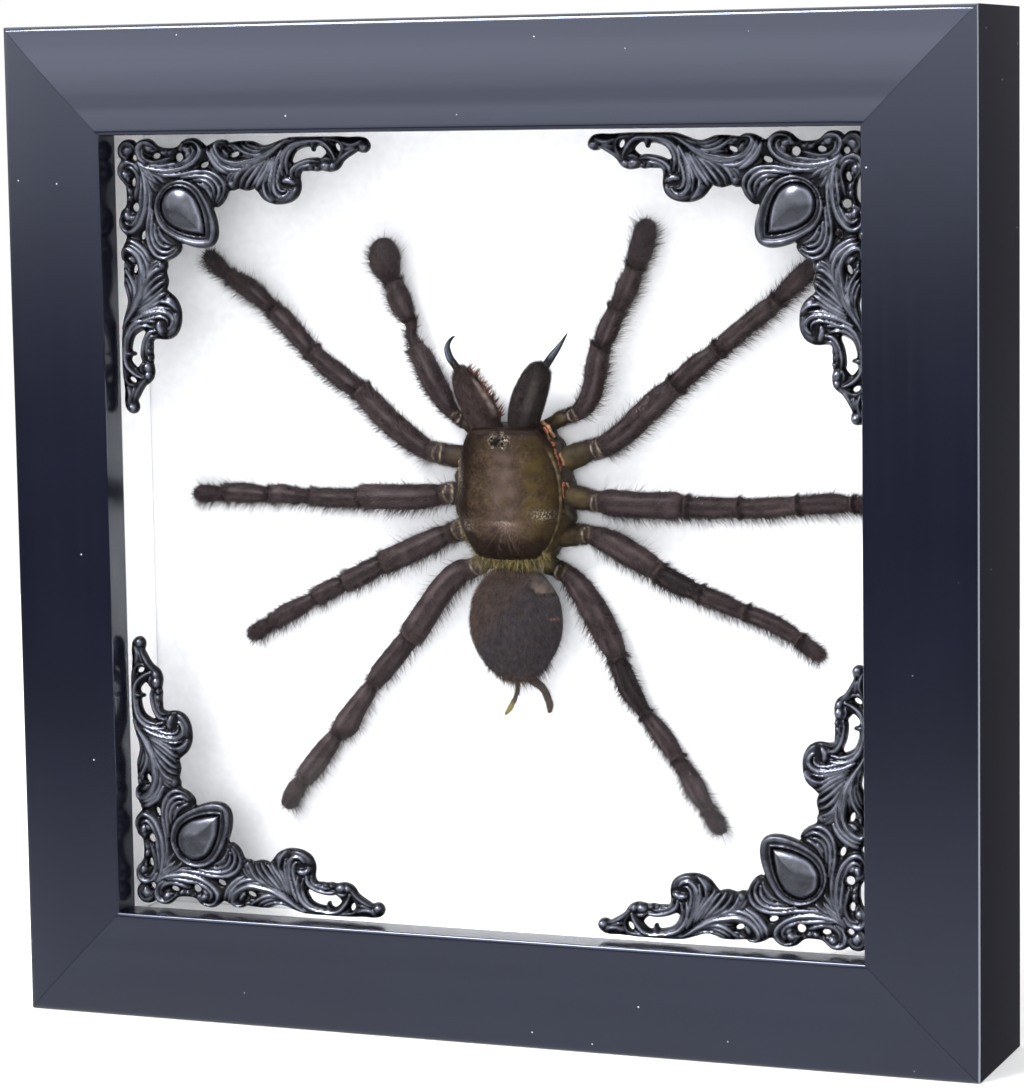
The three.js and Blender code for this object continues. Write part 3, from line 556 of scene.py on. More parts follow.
# %% Strokes of one arm
STROKES = [  # half width, height, points (u, v)
    # corner lobe and its boss
    (0.75, 0.75, [(1.0, 3.6), (0.9, 2.2), (1.5, 1.0), (2.6, 0.75), (3.7, 1.3), (4.1, 2.3)]),
    (0.85, 0.95, [(2.5, 2.2), (2.7, 2.4)]),
    # second lobe: a C-scroll with beads
    (0.6, 1.0, [(9.2, 1.9), (8.0, 0.95), (6.4, 0.65), (5.1, 1.3), (4.75, 2.7), (5.2, 4.0), (6.5, 5.0)]),
    (0.5, 0.8, [(5.9, 2.2), (5.9, 3.3), (6.8, 4.3), (8.4, 4.75), (10.2, 4.5), (12.2, 4.0)]),
    (0.75, 1.05, [(7.2, 1.8), (7.4, 2.0)]),
    (0.5, 0.85, [(8.3, 2.6), (8.4, 2.7)]),
    (0.55, 0.85, [(10.5, 2.85), (10.8, 2.9)]),
    (0.5, 0.8, [(12.0, 2.85), (12.2, 2.8)]),
    (0.4, 0.6, [(9.3, 2.2), (11.2, 2.25), (13.2, 2.2)]),
    # the long double stem up to the third lobe
    (0.55, 1.05, [(4.7, 4.6), (6.2, 5.7), (8.4, 6.3), (11.2, 6.55), (14.2, 6.2), (16.8, 5.2), (18.4, 3.8),
                  (18.9, 2.3), (18.2, 1.05), (16.9, 0.6), (15.6, 0.9)]),
    (0.5, 0.9, [(7.2, 5.5), (9.6, 5.65), (12.4, 5.3), (15.0, 4.8), (16.8, 3.9), (17.5, 2.7), (17.0, 1.7)]),
    (0.7, 1.0, [(15.6, 2.1), (15.9, 2.3)]),
    (0.5, 0.85, [(16.3, 3.1), (16.0, 3.5)]),
    (0.45, 0.8, [(14.5, 2.3), (14.6, 2.4)]),
    (0.45, 0.7, [(14.9, 1.2), (14.3, 2.4)]),
    # flutes from the corner toward the gem
    (0.5, 0.85, [(4.9, 4.9), (6.4, 6.4), (7.9, 7.9)]),
    (0.42, 0.8, [(5.8, 5.0), (7.6, 7.0), (9.0, 9.1)]),
    (0.42, 0.75, [(7.6, 7.0), (9.4, 7.9), (10.7, 8.9)]),
    (0.4, 0.7, [(7.2, 6.3), (9.4, 7.2), (11.6, 7.9)]),
    # bands above the gem and the leaf that curls round it
    (0.48, 0.9, [(8.6, 6.9), (11.4, 7.5), (14.6, 7.35), (17.4, 6.85), (19.6, 6.7), (21.8, 7.2), (23.6, 8.5),
                 (24.2, 10.3), (23.7, 12.0), (22.6, 13.3)]),
    (0.45, 0.95, [(14.6, 8.0), (17.2, 7.75), (19.6, 7.65), (21.6, 8.3), (22.8, 9.7), (23.0, 11.2),
                  (22.3, 12.7)]),
    (0.42, 0.85, [(17.4, 8.5), (19.4, 8.5), (21.0, 9.2), (21.8, 10.4), (21.9, 11.7)]),
    (0.4, 0.75, [(18.2, 9.2), (19.7, 9.9), (20.8, 11.0), (21.4, 12.4)]),
    (0.36, 0.7, [(19.4, 9.3), (20.6, 10.2)]),
    # the stem from the fourth lobe and its outer leaf
    (0.6, 1.0, [(20.5, 2.0), (20.9, 3.3), (21.8, 4.9), (23.2, 6.2), (24.8, 7.1)]),
    (0.5, 0.95, [(21.4, 1.6), (21.8, 3.2), (22.8, 4.7), (24.0, 5.8), (25.9, 6.5), (28.2, 6.4)]),
    (0.62, 1.2, [(24.3, 0.95), (23.0, 0.85), (22.3, 1.5), (22.6, 2.7), (23.5, 3.9), (24.9, 4.7),
    (26.9, 5.1),
                 (29.2, 4.8), (31.2, 4.4), (33.2, 3.5), (35.2, 2.4), (36.8, 1.4), (38.4, 0.6)]),
    (0.42, 0.85, [(25.6, 5.7), (28, 5.85), (30.4, 5.35), (32.6, 4.5), (34.6, 3.3), (36.2, 2.2)]),
    (0.5, 0.9, [(24.1, 2.2), (24.6, 3.1), (25.6, 4.0)]),
    (0.42, 0.85, [(25.5, 1.5), (25.9, 1.6)]),
    (0.4, 0.75, [(26.5, 2.3), (26.8, 2.4)]),
    (0.5, 0.95, [(26.3, 1.2), (27.3, 2.0), (28.4, 2.75), (29.8, 3.3), (31.4, 3.5), (33.0, 3.1),
    (34.4, 2.4)]),
    (0.4, 0.8, [(28.2, 1.4), (29.4, 2.15), (31, 2.7), (32.6, 2.7)]),
    (0.42, 0.85, [(29.2, 1.2), (30.6, 1.75), (32.4, 2.1), (34.2, 1.8), (35.8, 1.2), (37.2, 0.7)]),
    (0.36, 0.65, [(28.0, 3.75), (30.0, 3.95), (32.0, 3.9)]),
    # acanthus fan
    (0.42, 0.85, [(31.4, 5.4), (28.6, 6.4), (27.0, 7.8), (26.3, 9.4), (26.0, 10.2)]),
    (0.42, 0.85, [(32.6, 5.0), (30.0, 6.6), (28.3, 8.4), (27.6, 10.0)]),
    (0.45, 0.95, [(33.4, 4.7), (31.3, 6.8), (29.6, 8.9), (28.9, 10.2)]),
    (0.4, 0.85, [(34.2, 4.4), (32.5, 6.9), (30.9, 9.2), (30.1, 10.0)]),
    (0.45, 1.0, [(34.9, 4.1), (33.5, 6.9), (32.0, 9.0), (31.1, 10.4)]),
    (0.4, 0.9, [(35.5, 3.8), (34.3, 6.6), (33.3, 8.6), (32.5, 9.8)]),
    (0.4, 0.7, [(29.4, 5.9), (27.2, 6.9), (25.8, 8.3), (25.2, 9.6)]),
    (0.6, 0.8, [(25.6, 9.4), (25.9, 9.7)]),
    (0.36, 0.7, [(26.6, 6.9), (25.4, 7.6), (24.8, 8.8)]),
    # shell: a leaflet, and a volute that hooks round its eye
    (0.75, 0.7, [(32.4, 10.6), (33.2, 12.0), (34.6, 12.6)]),
    (0.38, 1.05, [(33.0, 9.0), (33.0, 10.7), (33.8, 12.2), (34.7, 13.0)]),
    (0.42, 0.95, [(36.3, 3.4), (35.0, 6.4), (34.2, 9.2), (34.4, 11.2)]),
    (0.5, 1.2, [(37.0, 2.6), (36.0, 4.6), (35.3, 7.0), (35.0, 9.4), (35.4, 11.0), (36.5, 11.9),
                 (37.8, 11.7), (38.5, 10.9)]),
    (0.4, 1.0, [(37.5, 3.6), (36.8, 5.6), (36.2, 7.6), (36.0, 9.4), (36.6, 10.7), (37.6, 10.8)]),
    (0.6, 1.0, [(37.1, 8.9), (38.3, 8.7), (39.6, 9.3)]),
    (0.85, 0.75, [(35.8, 12.6), (37.4, 12.7), (38.9, 12.0), (39.8, 10.8)]),
    # stem of the arch, double
    (0.5, 1.1, [(37.0, 7.6), (36.9, 5.4), (37.3, 3.6), (38.5, 2.1), (40.2, 1.25), (42.3, 0.9), (44.4, 0.8),
                (46.0, 1.15), (47.2, 2.2), (48.1, 3.5), (48.5, 4.7)]),
    (0.45, 0.9, [(38.2, 7.4), (37.9, 5.6), (38.3, 3.9), (39.3, 2.5), (40.8, 1.75), (42.6, 1.5)]),
    (0.45, 0.7, [(37.2, 1.4), (39.4, 0.6), (42.6, 0.35), (46.2, 0.4), (48.6, 0.8), (49.8, 1.6),
                  (49.9, 3.0), (49.2, 4.4)]),
    (0.45, 0.75, [(43.7, 1.6), (43.7, 2.6)]),
    # lower arm with beads and its bud
    (0.5, 1.0, [(38.9, 8.0), (39.2, 6.6), (40.3, 5.6), (41.9, 5.0), (43.6, 4.75), (45.0, 5.0)]),
    (0.42, 0.85, [(40.0, 7.9), (40.2, 6.9), (41.2, 6.2), (42.6, 5.85), (43.9, 5.7)]),
    (0.55, 0.85, [(41.6, 6.6), (41.8, 6.6)]),
    (0.5, 0.85, [(43.1, 6.5), (43.2, 6.5)]),
    (0.5, 0.85, [(44.5, 6.4), (44.6, 6.4)]),
    (0.8, 1.15, [(46.3, 5.9), (46.5, 6.0)]),
    (0.7, 1.0, [(48.0, 6.0), (48.1, 5.9)]),
    (0.4, 0.7, [(45.4, 4.9), (46.4, 4.4), (47.4, 4.6)]),
    # tail
    (0.5, 0.9, [(48.9, 5.4), (50.2, 4.2), (51.8, 3.2), (53.4, 2.6)]),
    (0.45, 0.85, [(50.2, 1.2), (51.6, 1.7), (53.0, 1.6), (54.2, 0.9)]),
    (0.4, 0.75, [(50.6, 2.6), (51.8, 2.5), (52.8, 2.1)]),
    (0.85, 1.2, [(54.7, 2.2), (54.75, 2.3)]),
]
PLATE = 5.0  # depth of the plain ground of the casting
ORNAMENT_BACK = 5.75
RELIEF_TOP = 1.35  # height at which the metal is polished brightest
PLUMP = 1.45  # how much fatter than drawn the strokes swell, so that they meet in valleys


def relief(points):
    """Height of the scrollwork above the ground of the casting, in mm."""
    points = np.sort(points, axis=1)[:, ::-1]  # the mirror image reads the same strokes
    height = np.zeros(len(points))
    for half_width, tall, line in STROKES:
        line = smooth_path(line, 0.45) if len(line) > 2 else np.asarray(line, float)
        share = np.linspace(0, 1, len(line))
        thin = 1 - 0.45 * np.abs(2 * share - 1) ** 3 if len(line) > 2 else np.ones(len(line))
        half_width *= PLUMP
        low, high = line.min(0) - half_width, line.max(0) + half_width
        near = np.flatnonzero(((points > low) & (points < high)).all(1))
        if not len(near):
            continue
        best = np.zeros(len(near))
        for k in range(len(line) - 1):
            off, t = off_line(points[near], line[k], line[k + 1])
            slim = thin[k] * (1 - t) + thin[k + 1] * t
            q = np.minimum(off / (half_width * slim), 1)
            round_top = 0.62 * (1 - q**2) ** 0.72 + 0.38 * (1 - q)  # rounded flanks and a crest
            best = np.maximum(best, tall * slim**0.6 * round_top)
        height[near] = np.maximum(height[near], best)
    return height


def gem_height(points):
    """Height above the ground, and where the setting is: cabochon, groove, and a double rim."""
    s = (points[:, 0] + points[:, 1]) / math.sqrt(2)
    t = (points[:, 0] - points[:, 1]) / math.sqrt(2)
    stone, rim = across_share(s, t, stone_outline()), across_share(s, t, gem_outline())
    dome = 0.15 + 1.7 * np.maximum(1 - stone**2.1, 0) ** 0.6
    band = np.maximum(stone - 1, 0) / np.maximum(np.maximum(stone - 1, 0) + np.maximum(1 - rim, 0), 1e-6)
    border = np.interp(band, [0, 0.1, 0.24, 0.34, 0.46, 0.58, 0.72, 0.86, 0.96, 1.0],
                       [0.12, 0.16, 0.66, 0.72, 0.42, 0.5, 0.86, 0.86, 0.5, 0.1])
    return np.where(stone < 1, dome, border) * (rim < 1), rim


print("strokes on one arm:", len(STROKES))

# %% [markdown]
# The field is a fine grid of squares. Squares far outside the outline are left away, the rest are cut
# exactly on the line where the distance to the outline is nought, and the open edge is pulled back into a
# wall and closed behind. The relief fades out near the edge, as a casting's rounded rim does.

# %% Cut the field and wall its edge
FIELD_STEP = 0.205  # mm between the points of the grid
FIELD_REACH = 57.0
ARM_WIDTH, CORNER_BLOCK = 14.6, 23.5  # the parts of the square where a casting has any metal
EDGE_FADE = 0.5


def casting():
    """One casting as a closed mesh, its points at (u, v, depth) in mm."""
    side = np.arange(0, FIELD_REACH, FIELD_STEP)
    u, v = np.meshgrid(side, side, indexing="ij")
    keep = (np.minimum(u, v) < ARM_WIDTH) | ((u < CORNER_BLOCK) & (v < CORNER_BLOCK))
    number = np.full(u.shape, -1)
    number[keep] = np.arange(keep.sum())
    points = np.stack([u[keep], v[keep]], -1)
    edge = np.maximum(depth_within(points, ARM_LOOP), depth_within(points, gem_edge))
    for hole in HOLES:
        edge = np.minimum(edge, -depth_within(points, hole))
    quads = np.stack([number[:-1, :-1], number[1:, :-1], number[1:, 1:], number[:-1, 1:]], -1)
    quads = quads.reshape(-1, 4)
    quads = quads[(quads >= 0).all(1)]
    quads = quads[(edge[quads] > 0).any(1)]
    work = bmesh.new()
    corners = [work.verts.new((*p, e)) for p, e in zip(points.tolist(), edge.tolist())]
    for q in quads.tolist():
        work.faces.new([corners[i] for i in q])
    bmesh.ops.bisect_plane(work, geom=work.verts[:] + work.edges[:] + work.faces[:], plane_co=(0, 0, 0),
                           plane_no=(0, 0, -1), clear_outer=True, dist=1e-6)
    bmesh.ops.delete(work, geom=[p for p in work.verts if not p.link_faces], context="VERTS")
    rim = [e for e in work.edges if len(e.link_faces) == 1]
    flat = np.array([p.co for p in work.verts])
    spot, sunk = flat[:, :2], flat[:, 2]
    gem, share = gem_height(spot)
    swell = 0.3 * (1 - np.exp(-np.clip(sunk, 0, 2) / 0.9))
    scroll = (0.85 * relief(spot) + swell) * rises(share, 0.97, 1.03)
    tall = np.maximum(gem, scroll)
    soft_edge = np.sqrt(np.clip(1 - (1 - np.clip(sunk / EDGE_FADE, 0, 1)) ** 2, 0, 1))
    depth = ORNAMENT_BACK - (ORNAMENT_BACK - PLATE + tall) * (0.3 + 0.7 * soft_edge)
    for p, d in zip(work.verts, depth):
        p.co.z = d
    wall = bmesh.ops.extrude_edge_only(work, edges=rim)["geom"]
    for p in (g for g in wall if isinstance(g, bmesh.types.BMVert)):
        p.co.z = ORNAMENT_BACK
    bmesh.ops.triangle_fill(work, use_beauty=False, use_dissolve=False,
                            edges=[g for g in wall if isinstance(g, bmesh.types.BMEdge)
                                   and all(abs(p.co.z - ORNAMENT_BACK) < 1e-9 for p in g.verts)])
    bmesh.ops.recalc_face_normals(work, faces=work.faces)
    return work


master = casting()
gaps = sum(len(e.link_faces) != 2 for e in master.edges)
print("casting:", len(master.verts), "points,", len(master.faces), "faces,", gaps, "open edges")

# %% [markdown]
# Dark pewter looks almost black in the hollows and bright on the ridges, because hollows see only
# themselves. The finish adds a little more: a dull patina that collects low down, with slightly more
# polish on the tops, read from a stored height.

# %% Dark pewter
PEWTER, node = new_finish("dark_pewter", Metallic=0.85, Specular_IOR_Level=0.5, Coat_Weight=0.12,
                          Coat_Roughness=0.2)
tall = stored(node, "tall")
mottled = noise(node, 480, 4, 0.6)
worn = reckon(node, "MULTIPLY_ADD", mottled, 0.4, reckon(node, "MULTIPLY_ADD", tall, 0.75, -0.15))
colour = ramp(node, worn, (0.16, srgb("#111116")), (0.34, srgb("#292a32")), (0.5, srgb("#50525c")),
              (0.61, srgb("#7b7e8c")), (0.74, srgb("#565861")), (0.9, srgb("#44454c")))
node.link(colour, "Base Color")
polish = reckon(node, "MULTIPLY_ADD", tall, -0.08, 0.27)
node.link(reckon(node, "MULTIPLY_ADD", mottled, 0.16, polish), "Roughness")
bump(node, noise(node, 900, 3), 0.00002, 0.5)
print("metal:", PEWTER.name)

# %% The four castings
def set_casting(name, x_side, z_side):
    copy = master.copy()
    depths = np.array([p.co.z for p in copy.verts])
    for p in copy.verts:
        u, v, depth = p.co
        p.co = place(x_side * (ORNAMENT_CORNER - u), z_side * (ORNAMENT_CORNER - v), depth)
    bmesh.ops.recalc_face_normals(copy, faces=copy.faces)
    bmesh.ops.triangulate(copy, faces=[f for f in copy.faces if len(f.verts) > 4])
    mesh = bpy.data.meshes.new(name)
    copy.to_mesh(mesh)
    copy.free()
    mesh.materials.append(PEWTER)
    mesh.polygons.foreach_set("use_smooth", np.full(len(mesh.polygons), True))
    piece = bpy.data.objects.new(name + "_cast", mesh)
    bpy.context.scene.collection.objects.link(piece)
    give(piece, "tall", np.clip((PLATE - depths) / RELIEF_TOP, 0, 1))
    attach(piece, "root")
    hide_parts(name)
    sharpen(piece, 60)
    return piece


for name, x_side, z_side in [("ornament_top_left", -1, 1), ("ornament_top_right", 1, 1),
                             ("ornament_bottom_left", -1, -1), ("ornament_bottom_right", 1, -1)]:
    made = set_casting(name, x_side, z_side)
print(made.name, len(made.data.polygons), "faces each")
master.free()

# %% [markdown]
# ## The spider: what it is made of
# A dried tarantula is a hard glossy carapace, a soft velvety abdomen, two stout jaws with fangs, two palps
# and eight legs of seven segments each. Each limb is a tube whose width changes at the joints, so it is
# given by a few stations, x, z and width in mm, and smoothed. How far a limb lies off the board is the
# same for all legs: they arch up from the body and come down to the tips.

# %% Where the limbs run
LEGS = {
    "leg_1_left": [
        (-10.9, 14, 4.7), (-14.3, 14.5, 4.8), (-18.2, 15.2, 4.3), (-19.7, 16.3, 4.8), (-23.1, 18.8, 5.2),
        (-27, 22.1, 5.3), (-31.1, 26.1, 4.8), (-32.7, 27.5, 4.3), (-34.7, 28.6, 4.6), (-37.6, 30.7, 4.8),
        (-40.9, 33, 4.3), (-43.3, 34.9, 3.9), (-47, 38.8, 4.4), (-50, 41.8, 4.5), (-52.2, 43.4, 3.5),
        (-56.2, 47, 4.4), (-59.7, 49, 4.1), (-62.5, 50.3, 2.9), (-63.8, 51.5, 3.5), (-66.1, 53.7, 3.7),
        (-67.7, 55, 2.4),
    ],
    "leg_2_left": [
        (-10.9, 6.5, 4.7), (-12.8, 6.6, 4.8), (-15.4, 6.3, 4.2), (-16.7, 6.1, 4.9), (-20.5, 5.7, 5.6),
        (-26.4, 5.6, 5.6), (-30.9, 5.6, 5.3), (-32.8, 5.2, 4.5), (-35.7, 5.1, 4.3), (-40.8, 5.1, 4.3),
        (-44.6, 5.2, 3.3), (-48.1, 5.3, 3.7), (-51.6, 5.7, 4.1), (-54.1, 5.3, 3.3), (-58.2, 5.5, 4.3),
        (-62.4, 5.6, 4.1), (-65, 5.2, 2.9), (-66.6, 5.2, 3.6), (-69.5, 5.1, 4), (-71.4, 5, 2.6),
    ],
    "leg_3_left": [
        (-9.8, -0.6, 4.7), (-11.8, -1, 4.7), (-14.1, -1.8, 4.1), (-15.8, -2.5, 4.8), (-18.6, -3.9, 5.3),
        (-23.4, -6, 5.4), (-27, -7.6, 5), (-28.3, -8.1, 4.3), (-31.7, -9.8, 4.6), (-35.2, -11.7, 4.6),
        (-37.2, -12.4, 3.5), (-39.5, -13.5, 4.2), (-42.6, -15, 4), (-44.1, -15.9, 3.1), (-48.3, -18.1, 4),
        (-51.8, -19.9, 4.1), (-54.2, -21.4, 2.9), (-55.9, -22.3, 3.6), (-58.3, -23.7, 3.5), (-60, -24.5, 2),
    ],
    "leg_4_left": [
        (-7, -7.8, 3.9), (-9.5, -8.8, 4), (-11.8, -9.7, 4.9), (-15.1, -12.9, 5.1), (-18, -17, 5.2),
        (-20.9, -21.3, 5.4), (-22.5, -23.1, 4.4), (-26.2, -27.4, 4.4), (-29.1, -30.7, 4.2),
        (-31.3, -33.1, 2.9),
        (-33, -35.5, 3.6), (-35.5, -39, 4.4), (-37.4, -42, 5), (-39.6, -43.8, 3.2), (-42.2, -47.1, 4.1),
        (-45.8, -51.6, 4.5), (-48.1, -54.1, 3.1), (-49.5, -56, 3.8), (-51.1, -58.5, 3.6),
        (-52.2, -60.2, 2.4),
    ],
    "leg_1_right": [
        (12.7, 14.2, 5), (15, 15, 4.9), (17.7, 15.9, 4.5), (20, 16.6, 4.8), (24.4, 19.4, 5.2),
        (28.5, 23.1, 5.4), (32.5, 26.6, 5.3), (34.5, 28.3, 4.5), (36.3, 29.9, 4.5), (39.8, 32.9, 4.7),
        (43.1, 35.4, 3.8), (46.1, 37.8, 4.3), (50, 41, 4.2), (53.9, 44, 4.2), (55.2, 45.1, 3.5),
        (58.3, 48, 4.1), (61.8, 51.2, 4.4), (64.5, 53.4, 4), (65.7, 54.5, 2.9), (67.6, 56.3, 3.6),
        (69.6, 58.2, 3.6), (70.6, 59.2, 2.3),
    ],
    "leg_2_right": [
        (12.8, 6.6, 5), (15.2, 6.1, 4.9), (18.3, 5.5, 4.3), (20.8, 5.6, 5.3), (24.4, 5.3, 5.7),
        (29.5, 5.2, 5.6), (35, 5.3, 5.8), (36.5, 5.1, 4.7), (39.3, 4.9, 4.7), (43.3, 5, 4.8),
        (47, 5, 4.1), (50, 5, 4.2), (55, 5.2, 4.4), (58.6, 5.6, 3.8), (61.8, 5.9, 4),
        (65.8, 6.2, 4.3), (68.7, 6.2, 3.8), (70, 6.1, 3), (72, 6.2, 3.6), (75.2, 6.2, 3.8),
        (76.7, 6.2, 2.4),
    ],
    "leg_3_right": [
        (12.2, -1.3, 4.8), (14.1, -1.2, 4.6), (16.9, -1.2, 4), (19.2, -1.7, 4.8), (22.4, -2.9, 5.5),
        (26.5, -5, 5.5), (29.7, -6.9, 5), (30.8, -7.7, 4.4), (33.3, -9.3, 4.7), (36.7, -10.9, 4.5),
        (38.7, -11.9, 3.6), (41.1, -12.7, 4.2), (45, -14.2, 4.1), (47.9, -15.5, 3.3), (50.8, -16.3, 3.7),
        (54.8, -17.9, 3.8), (57.9, -19.7, 3.5), (59.2, -20.6, 2.9), (61.1, -21.8, 3.5), (63.6, -23.7, 3.4),
        (64.7, -24.8, 2.3),
    ],
    "leg_4_right": [
        (9.8, -8.4, 4), (11.6, -9.2, 4.1), (13.6, -10.7, 4.9), (15.9, -13.4, 5.6), (18.5, -17.3, 6),
        (21.3, -22.4, 5.5), (22.4, -25.6, 4.2), (23.5, -28.4, 4.6), (25.2, -32.4, 4.6), (26.8, -35, 3.5),
        (27.5, -36.5, 2.9), (29.1, -38.2, 3.5), (31.5, -41, 4.3), (33.2, -43.7, 4), (34.1, -45.3, 3.2),
        (36, -47.9, 3.8), (38.3, -51.6, 4.6), (40.2, -55.5, 3.1), (41.6, -57.2, 3.8), (42.9, -59.3, 3.6),
        (43.3, -60.6, 2.4),
    ],
}

PALPS = {
    "palp_left": [
        (-9.8, 20.6, 2.6), (-12.5, 23, 3.4), (-14.5, 26.6, 4.8), (-16.6, 30.6, 5.2), (-18.4, 34.1, 4.7),
        (-20.3, 36.2, 3.2), (-21.2, 38.5, 2.5), (-21.3, 41, 2.5), (-22, 43, 4.2), (-23.1, 45, 5.1),
        (-24, 47, 4.7), (-25.1, 49, 3.8), (-25.7, 50.6, 5), (-26.3, 53, 6.8), (-26.8, 55.5, 6.4),
        (-27.4, 57.3, 4),
    ],
    "palp_right": [
        (9.3, 21.2, 2.9), (11, 22, 3.4), (13.6, 22.8, 3.4), (15.6, 24.1, 4), (17.5, 26.6, 4.6),
        (18.5, 29.6, 4.7), (19.2, 33.1, 5), (19.5, 35.7, 4.2), (20.3, 37.3, 4.3), (21.6, 40.1, 4.7),
        (22.8, 43.1, 4), (24.1, 45.5, 4.3), (25.5, 48.5, 4.9), (26.5, 51.6, 3.7), (27.2, 53.3, 4.6),
        (28.4, 56.5, 5.3), (29, 60, 4.5), (28.8, 61.3, 2.8),
    ],
}

JAWS = {
    "chelicera_left": [
        (-4.1, 20.9, 17.9, 6.9), (-4.9, 22.8, 17.8, 7.2), (-6.1, 25.2, 17.6, 7), (-7.8, 28.2, 17.5, 5.9),
        (-8.7, 30.5, 17.4, 4.6), (-9.4, 32.4, 17.4, 2.6),
    ],
    "chelicera_right": [
        (3.9, 20.9, 17.9, 6.7), (4.6, 24.2, 17.7, 7.3), (5.7, 27.2, 17.5, 7.1), (7, 30.2, 17.4, 6.2),
        (8, 32.2, 17.4, 4.6), (8.4, 33.2, 17.4, 2.6),
    ],
}

FANGS = {
    "fang_left": [
        (-10.6, 33.1, 17.3, 1.6), (-11.4, 34.2, 17.3, 1.6), (-12, 35.8, 17.5, 1.4), (-11.9, 37, 17.7, 1),
        (-11.2, 38.1, 18, 0.6), (-10.5, 38.5, 18.2, 0.25),
    ],
    "fang_right": [
        (9.8, 33.8, 17.3, 1.7), (10.5, 34.8, 17.4, 1.6), (11.6, 36.3, 17.7, 1.2), (12.6, 37.9, 18.1, 0.7),
        (13.4, 39.3, 18.5, 0.25),
    ],
}

SPINNERETS = {
    "spinneret_left": [
        (1.1, -31, 19.5, 0.9), (1.2, -32.8, 19.6, 0.9), (0.5, -34.8, 19.8, 0.9), (0.1, -35.4, 19.9, 1.1),
        (-0.8, -36.9, 20.1, 1.2), (-2, -38.3, 20.4, 0.6),
    ],
    "spinneret_right": [
        (4.9, -31, 19.5, 1.5), (6.6, -32.3, 19.6, 1.3), (7.6, -34.3, 19.8, 1.2), (7.9, -36, 20.1, 1.2),
        (7.7, -37.5, 20.4, 0.6),
    ],
}
print("limbs:", len(LEGS) + len(PALPS), "legs and palps,", len(JAWS), "jaws,", len(FANGS), "fangs")

# %% [markdown]
# A limb's skin lies a little inside its outline, because the velvet reaches the rest of the way. The
# joints, as places along the limb, carry pale bands of skin, so they are kept for the finish.

# %% Limb skins
BOARD_FRONT = 24.5
LEG_LIFT = [(0, 1.45), (0.12, 1.6), (0.3, 2.2), (0.48, 1.9), (0.65, 1.3), (0.85, 0.7), (1, 0.35)]
PALP_LIFT = [(0, 1.9), (0.13, 2.1), (0.3, 2.6), (0.5, 2.5), (0.7, 1.8), (0.85, 1.1), (1, 0.6)]
SKIN_INSET = 0.24
JOINTS = {  # x, z where one segment ends and the next begins, from the trochanter out
    "leg_1_left": [(-17.2, 14.8), (-32.7, 27.5), (-43.3, 34.9), (-52.2, 43.4), (-62.5, 50.3)],
    "leg_2_left": [(-14.7, 6.3), (-32.8, 5.2), (-44.6, 5.2), (-54.1, 5.3), (-65, 5.2)],
    "leg_3_left": [(-12.9, -1.5), (-28.3, -8.1), (-37.2, -12.4), (-44.1, -15.9), (-54.2, -21.4)],
    "leg_4_left": [(-9.5, -8.8), (-22.5, -23.1), (-31.3, -33.1), (-39.6, -43.8), (-48.1, -54.1)],
    "leg_1_right": [(18.7, 16.2), (34.5, 28.3), (43.1, 35.4), (55.2, 45.1), (65.7, 54.5)],
    "leg_2_right": [(18.3, 5.5), (36.5, 5.1), (47, 5), (58.6, 5.6), (70, 6.1)],
    "leg_3_right": [(16.2, -1.2), (30.8, -7.7), (38.7, -11.9), (47.9, -15.5), (59.2, -20.6)],
    "leg_4_right": [(10.6, -8.9), (22.4, -25.6), (27.5, -36.5), (34.1, -45.3), (40.2, -55.5)],
    "palp_left": [(-12.5, 23), (-20.3, 36.2), (-21.3, 41), (-25.1, 49)],
    "palp_right": [(13.6, 22.8), (19.5, 35.7), (22.8, 43.1), (26.5, 51.6)],
}


def over_board(stations, lift):
    """Adds a depth to each station, so that the limb's underside clears the board by its lift."""
    p = np.asarray(stations, float)
    reach = np.r_[0, np.cumsum(np.linalg.norm(np.diff(p[:, :2], axis=0), axis=1))]
    depth = BOARD_FRONT - np.interp(reach / reach[-1], *zip(*lift)) - p[:, 2] / 2
    return np.stack([p[:, 0], p[:, 1], depth, p[:, 2]], -1)


